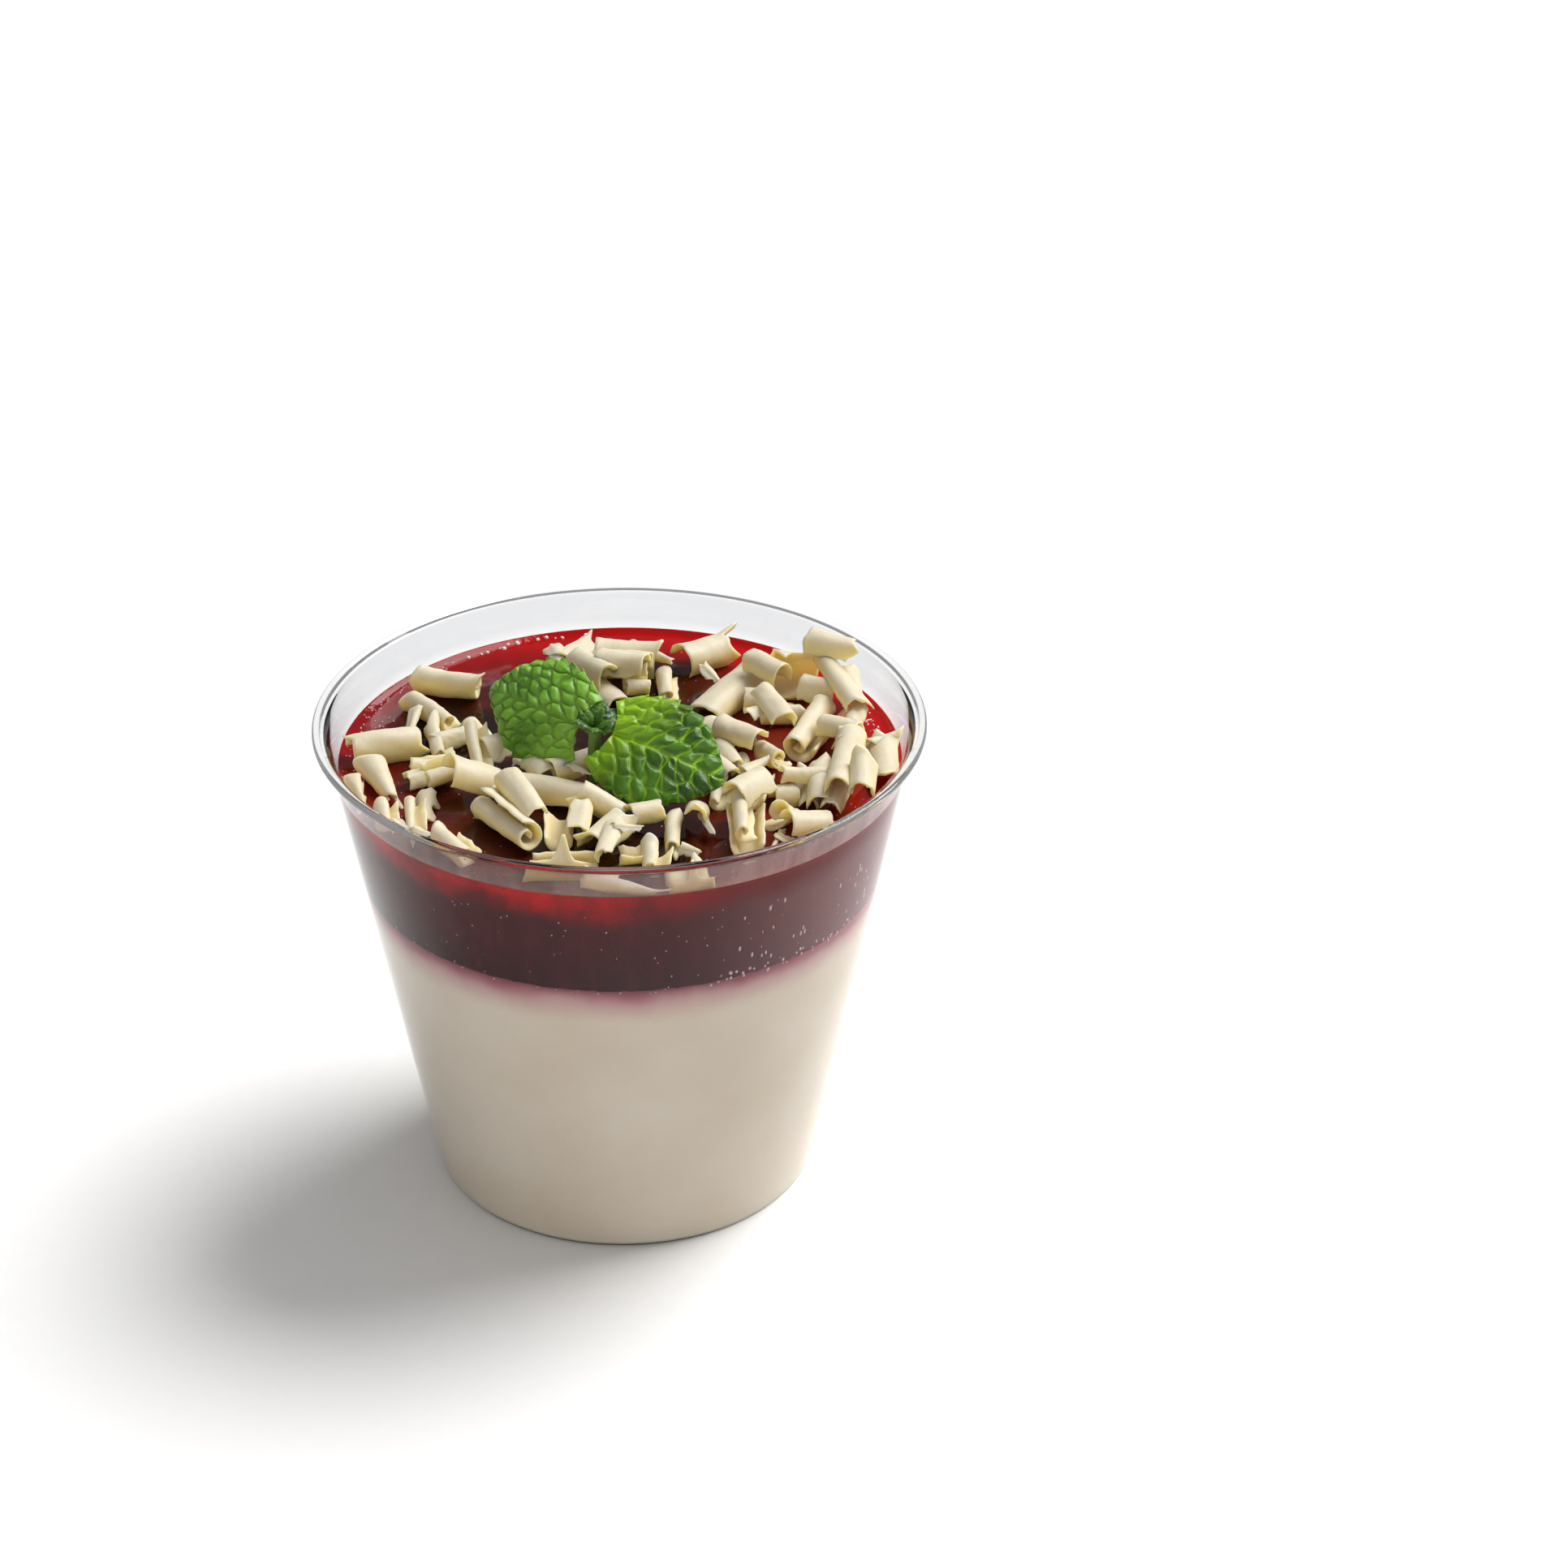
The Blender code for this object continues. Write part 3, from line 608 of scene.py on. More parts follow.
def make_smear(material):
    """A thin smear of jelly on the wall above the front of the jelly.

    It is a strip of the cup's inside, given a little thickness. How much it covers falls off as
    a smooth step towards its two ends, and as a square towards its top.
    """
    rows, columns = 160, 14
    angle = np.radians(np.linspace(*SMEAR_ENDS, rows))[:, None]
    height = np.linspace(JELLY_TOP + SMEAR_FOOT, SMEAR_TOP, columns)[None, :]
    sides = []
    for depth in SMEAR_FACES:
        radius = inner_radius(height) - depth
        sides.append(stacked(radius * np.cos(angle), radius * np.sin(angle), height))
    share = np.linspace(0, 1, rows)[:, None]
    ends = np.clip(np.minimum(share, 1 - share) * 7, 0, 1)
    up = np.linspace(0, 1, columns)[None, :]
    cover = ends ** 2 * (3 - 2 * ends) * (1 - 0.55 * up ** 2)
    faces = shell_faces(rows, columns)[:, ::-1]
    make_piece("jelly_smear", shell(*sides).reshape(-1, 3), [faces], material,
               values={"cover": shell(cover, cover)})


def ball():
    """A small round solid: a half circle turned in eight steps."""
    points, faces = turned([(0, -1), (0.71, -0.71), (1, 0), (0.71, 0.71), (0, 1)], 8)
    return points, [block[:, ::-1] for block in faces]


def make_balls(name, centres, sizes, material):
    """One ball at each centre, with its own half width along each axis."""
    points, faces = ball()
    every = (centres[:, None] + sizes[:, None] * points[None]).reshape(-1, 3)
    steps = np.arange(len(centres))[:, None, None] * len(points)
    blocks = [(block[None] + steps).reshape(-1, block.shape[1]) for block in faces]
    return make_piece(name, every, blocks, material)


def ring_places(random, count, first, last, radius, spread, height, rise):
    """Random places near the wall, between two azimuths in degrees."""
    angle = np.radians(random.uniform(first, last, count))
    reach = radius + random.uniform(-spread, spread, count)
    level = height + random.uniform(-rise, rise, count)
    return stacked(reach * np.cos(angle), reach * np.sin(angle), level)


def make_froth(material):
    """Tiny bubbles on the jelly: along the wall at the back and left, and where it shines."""
    random = np.random.default_rng(FROTH_SEED)
    centres, widths = [], []
    for count, first, last, reach, spread, width in FROTH:
        places = ring_places(random, count, first, last, reach, spread, 0, 0)
        places[:, 2] = jelly_height(np.hypot(places[:, 0], places[:, 1]))
        centres.append(places)
        widths.append(random.uniform(0.4, 1.0, count) * width)
    width = np.concatenate(widths)
    make_balls("jelly_froth", np.concatenate(centres), stacked(width, width, width), material)


def make_side_bubbles(material):
    """Flat bubbles between the wall and what fills it, each lying against the wall."""
    random = np.random.default_rng(SIDE_BUBBLE_SEED)
    centres, sizes = [], []
    for count, first, last, height, rise, width, tall in SIDE_BUBBLES:
        places = ring_places(random, count, first, last, 1, 0, height, rise)
        places[:, :2] *= inner_radius(places[:, 2:]) + INTO_WALL
        size = random.uniform(0.45, 1.0, count) * width
        centres.append(places)
        sizes.append(stacked(size, size, size * tall))
    centres = np.concatenate(centres)
    sizes = np.concatenate(sizes)
    outward = centres[:, :2] / np.linalg.norm(centres[:, :2], axis=1, keepdims=True)
    sizes[:, :2] *= 1 - 0.6 * np.abs(outward)
    make_balls("side_bubbles", centres, sizes, material)


# ---------------------------------------------------------------- white chocolate

def turn_matrix(heading, tilt):
    """Turn about Z by the heading, after lifting the far end by the tilt, both in radians."""
    return np.array(Matrix.Rotation(heading, 3, "Z") @ Matrix.Rotation(-tilt, 3, "Y"))


def packed_points(curl):
    """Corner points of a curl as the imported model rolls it, in its own frame with its axis on X."""
    wrap, taper, point = FORMS[curl.form]
    along = np.linspace(0, 1, 3)[:, None]
    around = np.linspace(0, 1, 8)[None, :]
    angle = math.radians(curl.facing + 180) + math.radians(wrap) * (around - 0.5)
    length = math.dist(curl.start, curl.end)
    place = length * (along * (1 - point * np.abs(2 * around - 1)) - 0.5)
    faces = []
    for depth in (0, min(SHAVING, NARROW_SHARE * curl.radius * (1 - taper))):
        radii = curl.radius * (1 - taper * along) - depth
        faces.append(stacked(place, radii * np.sin(angle), radii * np.cos(angle)))
    return np.concatenate(faces).reshape(-1, 3)


def heading_of(curl):
    """Direction of a curl's axis seen from above, in radians."""
    return math.atan2(curl.end[1] - curl.start[1], curl.end[0] - curl.start[0])


def curl_pose(curl, node):
    """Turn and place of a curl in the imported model, found from its node's points.

    Its heading is known. At the right tilt, the node's box in the curl's own frame has the same
    size as the rolled shaving's, and the two boxes' middles give its place.
    """
    model = packed_points(curl)
    points = places_of(node.data.vertices, "co")
    best = None
    for tilt in TILTS:
        turn = turn_matrix(heading_of(curl), math.radians(tilt))
        own = points @ turn
        miss = np.abs(np.ptp(own, axis=0) - np.ptp(model, axis=0)).sum()
        if best is None or miss < best[0]:
            middle = (own.max(0) + own.min(0) - model.max(0) - model.min(0)) / 2
            best = (miss, turn, turn @ middle)
    return best[1], best[2]


def tooth(where, middle, width):
    """A pointed tooth, 1 at its middle and 0 a width away from it."""
    return np.clip(1 - np.abs(where - middle) / width, 0, 1) ** 1.3


def torn(where, random, size):
    """How far a torn edge stands out, in mm: teeth and notches in random places."""
    out = np.zeros_like(where)
    for number in range(TEETH):
        middle = (number + random.uniform(0.1, 0.9)) / TEETH
        reach = random.uniform(-1.0, 1.0)
        out = out + reach * tooth(where, middle, random.uniform(0.5, 1.0) / TEETH)
    return size * out


def shaving(curl, random, spikes=()):
    """A thin shell of chocolate rolled about X: its points, as rows of closed loops.

    The sheet is a rectangle whose four edges are torn, and a spike is a long tooth on one of
    them. Across the sheet the angle round the axis grows evenly, and the radius shrinks by more
    than the sheet's thickness for each full turn, so that a long sheet is a spiral. A tooth on
    its side goes straight on. Along it the radius tapers, and what stands out past the ends
    flares open. The axis bends as a parabola, the roll is a little oval, the sheet twists, and
    it thins out towards its edges.
    """
    radius = curl.radius * FULLER
    taper, point = FORMS[curl.form][1:]
    wrap = math.radians(WRAPS[curl.form] + random.uniform(*WRAP_SPREAD))
    length = math.dist(curl.start, curl.end)
    girth = wrap * radius
    thickness = THIN + (THICK - THIN) * min(max(radius - THIN_RADIUS, 0), 1)
    along = np.linspace(0, 1, CURL_ROWS)[:, None]
    across = np.linspace(0, 1, CURL_COLUMNS)[None, :]
    sides = [torn(along, random, SIDE_TEAR) / girth for _ in range(2)]
    ends = [torn(across, random, END_TEAR) / length for _ in range(2)]
    for edge, middle, width, size in spikes:
        if edge < 2:
            ends[edge] = ends[edge] + size / length * tooth(across, middle, width)
        else:
            sides[edge - 2] = sides[edge - 2] + size / girth * tooth(along, middle, width)
    around = -sides[0] + (1 + sides[0] + sides[1]) * across
    first = -ends[0]
    last = 1 - 0.5 * point * np.abs(2 * across - 1) + ends[1]
    place = first + (last - first) * along
    rolled = np.clip(around, 0, 1)
    past = (around - rolled) * girth
    twist = random.uniform(-0.3, 0.3) * (place - 0.5)
    angle = math.radians(curl.facing + 180) + wrap * (rolled - 0.5) + twist
    pitch = 1.15 * thickness + 0.2 * radius if wrap > SPIRAL_WRAP else 0.1 * thickness
    radii = radius * (1 - taper * np.clip(place, 0, 1)) - pitch * wrap / (2 * math.pi) * rolled
    radii = radii + END_FLARE * length * np.maximum(np.abs(place - 0.5) - 0.5, 0)
    radii = radii * (1 + OVAL * np.cos(2 * angle + random.uniform(0, 6)))
    grid = stacked(place * length, around * girth)
    for height, size in CRUMPLES:
        radii = radii + height * ripple(grid, size, int(random.integers(1e6)))
    loose = random.uniform(0.0, LOOSE) * np.clip(1 - around * 4, 0, 1) ** 2
    radii = np.maximum(radii + loose, 0.4 * thickness)
    inward = np.minimum(np.minimum(across, 1 - across) * girth, np.minimum(along, 1 - along) * length)
    thinned = RIM_SHARE + (1 - RIM_SHARE) * np.clip(inward / RIM_WIDTH, 0, 1) ** 0.5
    wall = np.minimum(thickness * thinned, radii * 0.6)
    sag = random.uniform(-SAG, SAG) * length * (place - 0.5) ** 2 * 4
    faces = []
    for depth in (0, wall):
        reach = radii - depth
        level = reach * np.cos(angle) - past * np.sin(angle) + sag
        flank = reach * np.sin(angle) + past * np.cos(angle)
        faces.append(stacked(length * (place - 0.5), flank, level))
    return shell(*faces)


def shell_faces(rows, columns):
    """Faces of a shell: its loops joined along it, and a strip across each of its ends."""
    loop = 2 * columns
    inner = loop - 1 - np.arange(columns)
    outer = np.arange(columns)
    strip = np.stack([outer[:-1], outer[1:], inner[1:], inner[:-1]], axis=-1)
    far = strip[:, ::-1] + (rows - 1) * loop
    return np.concatenate([grid_faces(rows, loop, wrap=True)[:, ::-1], strip, far])


def sheet_uv(curl, number):
    """A curl's own pattern map, in mm along it and round it, shifted for each curl."""
    along = np.linspace(0, math.dist(curl.start, curl.end), CURL_ROWS)[:, None]
    around = np.linspace(0, 5 * curl.radius, CURL_COLUMNS)[None, :]
    return stacked(along + 31.7 * number, shell(around, around) + 17.3 * number).reshape(-1, 2)


def inner_side():
    """1 on a curl's inner face and 0 on its outer face."""
    face = np.zeros((CURL_ROWS, 2 * CURL_COLUMNS))
    face[:, CURL_COLUMNS:] = 1.0
    return face.ravel()


def join_shavings(name, shavings, material, replaced):
    """Shavings that are given as (curl, number, turn, place), joined into one piece."""
    faces = shell_faces(CURL_ROWS, CURL_COLUMNS)
    points, blocks, uv = [], [], []
    for order, (curl, number, turn, place) in enumerate(shavings):
        own = shaving(curl, np.random.default_rng(CURL_SEED + number), SPIKES.get(number, ()))
        blocks.append(faces + order * CURL_ROWS * 2 * CURL_COLUMNS)
        points.append(own.reshape(-1, 3) @ turn.T + place)
        uv.append(sheet_uv(curl, number))
    values = {"inner": np.tile(inner_side(), len(points))}
    return make_piece(name, np.concatenate(points), blocks, material, replaced,
                      values=values, uv=np.concatenate(uv))


def make_curls(material, nodes):
    """Every rolled curl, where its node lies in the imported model."""
    shavings = []
    names = []
    for number, row in enumerate(CURLS, start=1):
        curl = Curl(*row)
        names.append(f"curl_{number:02d}")
        pose = curl_pose(curl, nodes[names[-1]])
        form, facing, fuller = OPENED.get(number, (curl.form, curl.facing, 1.0))
        curl = Curl(curl.start, curl.end, fuller * curl.radius, form, facing)
        shavings.append((curl, number, *pose))
    join_shavings("chocolate_curls", shavings, material, names)


def make_slivers(material):
    """The thin torn bits between the curls, each at its own height and tilt."""
    shavings = []
    for number, (*row, height, tilt) in enumerate(SLIVERS, start=FIRST_SLIVER):
        curl = Curl(*row)
        middle = (np.array(curl.start) + curl.end) / 2
        turn = turn_matrix(heading_of(curl), math.radians(tilt))
        shavings.append((curl, number, turn, np.array([*middle, height])))
    join_shavings("chocolate_slivers", shavings, material, ())


# ---------------------------------------------------------------- mint

def leaf_frame(leaf):
    """Turn and place of a leaf: heading about Z, then pitch about Y, then bank about X."""
    turn = Matrix.Rotation(math.radians(leaf.heading), 3, "Z")
    turn = turn @ Matrix.Rotation(math.radians(-leaf.pitch), 3, "Y")
    turn = turn @ Matrix.Rotation(math.radians(leaf.bank), 3, "X")
    return np.array(turn), np.array([*SPRIG, BUD_HEIGHT]) + leaf.foot


def vein_map(x, y, leaf):
    """How near each point of a leaf lies to a vein, and how far it swells between the veins.

    Side veins leave the midrib at a slant and curve towards the tip, which parts each half into
    lanes. Two seeds or more stand at random across each lane. A point's gap is how much farther
    its second nearest seed is than its nearest: it is zero on the small veins round the cells.
    """
    random = np.random.default_rng(leaf.seed)
    out = np.abs(y) / (leaf.width / 2)
    flat = np.stack([x, y], axis=-1)
    slanted = x / leaf.length - 0.36 * out + 0.12 * out ** 2
    lane = slanted * leaf.lanes + 0.16 * ripple(flat, 3.2, leaf.seed + 1)
    far = out * leaf.lanes * 0.5 + 0.16 * ripple(flat, 2.6, leaf.seed + 2)
    first = np.full(x.shape, NO_SEED)
    second = np.full(x.shape, NO_SEED)
    for row in range(-4, leaf.lanes + 2):
        for column in range(leaf.lanes // 2 + 1):
            for flank in (-1, 1):
                at_lane = row + 0.5 + random.uniform(-0.26, 0.26)
                at_far = column + 0.5 + random.uniform(-0.42, 0.42)
                gap = np.hypot(lane - at_lane, 1.15 * (far - at_far))
                gap = np.where(y * flank >= 0, gap, NO_SEED)
                second = np.minimum(second, np.maximum(first, gap))
                first = np.minimum(first, gap)
    cell = np.clip(second - first, 0, 1)
    rib = np.abs(lane - np.round(lane))
    main = np.exp(-(y / MIDRIB) ** 2) * np.clip(1.2 - x / leaf.length, 0, 1)
    small = np.exp(-(cell / SMALL_VEIN) ** 2)
    large = np.exp(-(rib / SIDE_VEIN) ** 2) * np.clip(1.1 - out, 0, 1)
    vein = np.clip(0.70 * small + 0.9 * large + 1.2 * main, 0, 1)
    swell = np.clip(1.7 * cell, 0, 1) ** 0.55 * (1 - 0.7 * large) * (1 - main)
    return vein, swell


def leaf_sheet(leaf, blade):
    """Points of a leaf as a closed shell, with its vein, swell, youth and side at each point.

    Half its width follows a sine that starts wide at the foot and closes at the tip, cut back by
    a row of rounded teeth. The midrib arches as a parabola and both sides droop with the square
    of their distance from it. The skin swells between the veins.
    """
    along = np.linspace(0, 1, blade.rows)[:, None]
    side = np.sin(np.linspace(-math.pi / 2, math.pi / 2, blade.columns))[None, :]
    sine = np.clip(np.sin(math.pi * (FOOT_START + (1 - FOOT_START) * along)), 0, 1)
    half = leaf.width / 2 * (sine ** FULLNESS + LEAST_HALF)
    phase = blade.teeth * along + 0.3 * np.sign(side)
    bite = 1 - (phase - np.floor(phase)) ** TOOTH_SLANT
    half = half * (1 - TOOTH_DEPTH * bite * np.abs(side) ** 3 * np.clip(4 * along, 0, 1))
    x = leaf.length * along - leaf.lobe * side ** 2 * (1 - along) ** 2
    y = half * side
    vein, swell = vein_map(x, y, leaf)
    edge = np.clip((1 - np.abs(side)) * 8, 0, 1) * np.clip((1 - along) * 12, 0, 1)
    flat = np.stack([x, y], axis=-1)
    z = leaf.arch * 4 * along * (1 - along) - leaf.droop * side ** 2 * (half * 2 / leaf.width)
    z = z + 0.03 * leaf.width * ripple(flat, 0.5 * leaf.width, leaf.seed + 5) * side ** 2
    lift = blade.swell * swell * (0.35 + 0.65 * edge)
    top = np.stack([x, y, z + lift], axis=-1)
    under = np.stack([x, y, z + lift * 0.7 - blade.thickness], axis=-1)
    turn, place = leaf_frame(leaf)
    young = np.clip(0.95 - 2.6 * x / leaf.length + 0.9 * y / leaf.width, 0, 1)
    values = {"vein": shell(vein, vein), "swell": shell(swell, swell), "young": shell(young, young)}
    values["under"] = shell(np.zeros(vein.shape), np.ones(vein.shape))
    points = (shell(top, under) @ turn.T + place).reshape(-1, 3)
    return points, {name: value.ravel() for name, value in values.items()}


def make_leaf(name, leaf, material):
    """One of the two big leaves."""
    points, values = leaf_sheet(leaf, GROWN)
    faces = shell_faces(GROWN.rows, GROWN.columns)[:, ::-1]
    return make_piece(name + "_blade", points, [faces], material, [name], values=values)


def make_leaflets(material):
    """The sprig's tip: a ring of young leaflets, joined into one piece."""
    faces = shell_faces(YOUNG.rows, YOUNG.columns)[:, ::-1]
    sheets = [leaf_sheet(leaflet, YOUNG) for leaflet in LEAFLETS]
    points = np.concatenate([sheet[0] for sheet in sheets])
    blocks = [faces + order * len(sheet[0]) for order, sheet in enumerate(sheets)]
    values = {name: np.concatenate([sheet[1][name] for sheet in sheets]) for name in sheets[0][1]}
    make_piece("mint_bud", points, blocks, material, values=values)


def make_stem(material):
    """The short square stem, which stands in the jelly and leans as it goes up to the bud."""
    heights = np.linspace(JELLY_TOP - STEM_FOOT, BUD_HEIGHT + STEM_TIP, 12)
    profile = [(0, heights[0])]
    profile += [(STEM_RADIUS, height) for height in heights[1:-1]]
    profile += [(0, heights[-1])]
    stem, faces = turned(profile, 16)
    angle = np.arctan2(stem[:, 1], stem[:, 0])
    stem[:, :2] *= (1 + STEM_CORNERS * np.cos(4 * angle))[:, None]
    risen = (stem[:, 2:] - JELLY_TOP) / (BUD_HEIGHT - JELLY_TOP)
    stem[:, :2] += np.array(SPRIG) + STEM_LEAN * (1 - risen) * np.array([-1.0, 1.0])
    make_piece("mint_stem", stem, [block[:, ::-1] for block in faces], material,
               ["mint_sprig"])


# ---------------------------------------------------------------- materials
# Every length here is in metres, and every place is the object's own. A colour is linear, unless
# srgb gives it.

PALE_GREEN = (0.20, 0.33, 0.07)


class Nodes:
    """A short way to lay out the nodes of a tree."""

    def __init__(self, tree):
        self.tree = tree

    def put(self, socket, value):
        """Link a socket to an output, or set it to a value or a colour."""
        if isinstance(value, bpy.types.NodeSocket):
            self.tree.links.new(value, socket)
        elif socket.type == "RGBA":
            socket.default_value = (*value[:3], 1)
        else:
            socket.default_value = value

    def node(self, kind, **sockets):
        """A new node, with its properties in lower case and its sockets by name."""
        node = self.tree.nodes.new(kind)
        for label, value in sockets.items():
            if label[0].islower():
                setattr(node, label, value)
            else:
                self.put(node.inputs[label.replace("_", " ")], value)
        return node

    def effect(self, effect, **inputs):
        """Place a shared effect with its inputs by name, and give back its outputs."""
        node = self.tree.nodes.new("ShaderNodeGroup")
        node.node_tree = effect.tree
        for label, value in inputs.items():
            self.put(node.inputs[label.replace("_", " ")], value)
        return node.outputs

    def math(self, operation, first, second=0.0, third=0.0):
        """A Math node's result."""
        node = self.node("ShaderNodeMath", operation=operation)
        for socket, value in zip(node.inputs, (first, second, third)):
            self.put(socket, value)
        return node.outputs[0]

    def ramp(self, value, low, high):
        """0 below low, 1 above high and smooth between them."""
        node = self.node("ShaderNodeMapRange", interpolation_type="SMOOTHSTEP")
        for label, number in (("Value", value), ("From Min", low), ("From Max", high)):
            self.put(node.inputs[label], number)
        return node.outputs["Result"]

    def part(self, share, value, low, high):
        """A share of a ramp."""
        return self.math("MULTIPLY", self.ramp(value, low, high), share)

    def split(self, vector):
        """The X, Y and Z of a vector."""
        return self.node("ShaderNodeSeparateXYZ", Vector=vector).outputs

    def blend(self, share, first, second):
        """A mix of two colours."""
        node = self.node("ShaderNodeMix", data_type="RGBA")
        colours = [socket for socket in node.inputs if socket.type == "RGBA"]
        self.put(node.inputs["Factor"], share)
        self.put(colours[0], first)
        self.put(colours[1], second)
        return [socket for socket in node.outputs if socket.type == "RGBA"][0]

    def noise(self, where, scale, detail=3.0, roughness=0.5):
        """Cloudy noise from 0 to 1."""
        node = self.node("ShaderNodeTexNoise", Vector=where, Scale=scale, Detail=detail,
                         Roughness=roughness)
        return node.outputs["Fac"]


class Finish(Nodes):
    """A material's nodes, with its Principled shader."""

    def __init__(self, name):
        self.material = bpy.data.materials.new(name)
        self.material.use_nodes = True
        super().__init__(self.material.node_tree)
        self.surface = self.tree.nodes["Principled BSDF"]
        self.where = self.node("ShaderNodeTexCoord").outputs["Object"]

    def set(self, **sockets):
        """Set sockets of the Principled shader."""
        for label, value in sockets.items():
            self.put(self.surface.inputs[label.replace("_", " ")], value)

    def attribute(self, name):
        """A value that the mesh keeps at each point."""
        return self.node("ShaderNodeAttribute", attribute_name=name).outputs["Fac"]

    def drift(self, size, scale, detail=3.0):
        """Clouds of noise from minus half the size to half of it."""
        return self.math("MULTIPLY_ADD", self.noise(self.where, scale, detail), size, -size / 2)

    def cloudy(self, clouds, scale, first, second):
        """A colour that drifts between two, by the shared effect."""
        cloud = self.effect(clouds, Where=self.where, Scale=scale, First=first, Second=second)
        return cloud["Colour"]

    def streaked(self, streaks, scale, stretch):
        """Noise drawn out along the height, by the shared effect."""
        return self.effect(streaks, Where=self.where, Scale=scale, Stretch=stretch)["Streak"]

    def bump(self, height, strength, distance):
        """Lay a bump on the shader."""
        node = self.node("ShaderNodeBump", Strength=strength, Distance=distance, Height=height)
        self.put(self.surface.inputs["Normal"], node.outputs["Normal"])


class Effect(Nodes):
    """A shader node group: an effect that more than one material uses."""

    def __init__(self, name, inputs, outputs):
        super().__init__(bpy.data.node_groups.new(name, "ShaderNodeTree"))
        face = self.tree.interface
        for direction, sockets in (("INPUT", inputs), ("OUTPUT", outputs)):
            for label, kind in sockets.items():
                face.new_socket(label, in_out=direction, socket_type="NodeSocket" + kind)
        self.given = self.tree.nodes.new("NodeGroupInput").outputs
        self.result = self.tree.nodes.new("NodeGroupOutput").inputs


def srgb(red, green, blue):
    """A colour's linear values from its 0 to 255 values."""
    share = np.array([red, green, blue]) / 255
    return tuple(np.where(share > 0.04045, ((share + 0.055) / 1.055) ** 2.4, share / 12.92).tolist())


def drawn_streaks():
    """Noise drawn out along the height by the stretch."""
    inputs = {"Where": "Vector", "Scale": "Float", "Stretch": "Float"}
    nodes = Effect("drawn streaks", inputs, {"Streak": "Float"})
    place = nodes.split(nodes.given["Where"])
    height = nodes.math("DIVIDE", place["Z"], nodes.given["Stretch"])
    drawn = nodes.node("ShaderNodeCombineXYZ", X=place["X"], Y=place["Y"], Z=height).outputs[0]
    nodes.put(nodes.result["Streak"], nodes.noise(drawn, nodes.given["Scale"], 4.0, 0.6))
    return nodes


def cloudy_colour():
    """A colour that drifts between two, in soft clouds."""
    inputs = {"Where": "Vector", "Scale": "Float", "First": "Color", "Second": "Color"}
    nodes = Effect("cloudy colour", inputs, {"Colour": "Color"})
    cloud = nodes.ramp(nodes.noise(nodes.given["Where"], nodes.given["Scale"], 4.0), 0.25, 0.75)
    nodes.put(nodes.result["Colour"], nodes.blend(cloud, nodes.given["First"], nodes.given["Second"]))
    return nodes


def bubble_skin():
    """A bubble's colour, with paler specks."""
    nodes = Effect("bubble skin", {"Where": "Vector", "Colour": "Color"}, {"Colour": "Color"})
    speck = nodes.part(0.5, nodes.noise(nodes.given["Where"], 900, 2.0), 0.45, 0.7)
    nodes.put(nodes.result["Colour"], nodes.blend(speck, nodes.given["Colour"], (0.95, 0.92, 0.92)))
    return nodes


def leaf_skin():
    """A leaf's colour: cloudy green, another green in the valleys, at the foot and in the veins."""
    inputs = {"Where": "Vector", "Vein": "Float", "Swell": "Float", "Young": "Float", "Under": "Float"}
    inputs.update({label: "Color" for label in ("Dark", "Light", "Valley", "Veins", "Young skin")})
    nodes = Effect("leaf skin", inputs, {"Colour": "Color", "Roughness": "Float"})
    given = nodes.given
    cloud = nodes.noise(given["Where"], 190, 3.0)
    skin = nodes.blend(nodes.ramp(cloud, 0.3, 0.7), given["Dark"], given["Light"])
    # The valley green; on the left leaf it is darker, a painted shade.
    skin = nodes.blend(nodes.part(0.6, given["Swell"], 0.75, 0.2), skin, given["Valley"])
    skin = nodes.blend(nodes.math("MULTIPLY", given["Young"], 0.9), skin, given["Young skin"])
    skin = nodes.blend(nodes.math("MULTIPLY", given["Vein"], 0.85), skin, given["Veins"])
    skin = nodes.blend(nodes.math("MULTIPLY", given["Under"], 0.6), skin, PALE_GREEN)
    nodes.put(nodes.result["Colour"], skin)
    nodes.put(nodes.result["Roughness"], nodes.math("MULTIPLY_ADD", cloud, 0.16, 0.30))
    return nodes


def clear_plastic(streaks):
    """Clear glossy plastic, which lets light through: painted shade makes it greyer above the jelly,
    and a painted highlight makes it pale at its lip.
    """
    nodes = Finish("clear plastic")
    smudge = nodes.noise(nodes.where, 160, 5.0)
    height = nodes.split(nodes.where)["Z"]
    # Painted shade: the plastic is greyer above the jelly.
    painted_light_tint = nodes.blend(nodes.ramp(height, 0.0670, 0.0700), (0.88, 0.885, 0.89), (0.69, 0.70, 0.72))
    # Painted highlight: the plastic is paler at its lip.
    painted_light_tint = nodes.blend(nodes.ramp(height, 0.0733, 0.0740), painted_light_tint, (0.90, 0.90, 0.905))
    nodes.set(Base_Color=painted_light_tint, IOR=1.33, Transmission_Weight=1.0)
    nodes.set(Roughness=nodes.math("MULTIPLY_ADD", nodes.ramp(smudge, 0.5, 0.85), 0.04, 0.012))
    drawn = nodes.streaked(streaks, 700, 25)
    uneven = nodes.math("MULTIPLY_ADD", drawn, 0.25, nodes.noise(nodes.where, 60, 2.0))
    nodes.bump(uneven, 0.03, 0.0002)
    through = nodes.node("ShaderNodeBsdfTransparent", Color=(0.93, 0.94, 0.95))
    shadow = nodes.node("ShaderNodeLightPath").outputs["Is Shadow Ray"]
    mix = nodes.node("ShaderNodeMixShader", Fac=shadow)
    nodes.put(mix.inputs[1], nodes.surface.outputs[0])
    nodes.put(mix.inputs[2], through.outputs[0])
    nodes.put(nodes.tree.nodes["Material Output"].inputs["Surface"], mix.outputs[0])
    return nodes.material


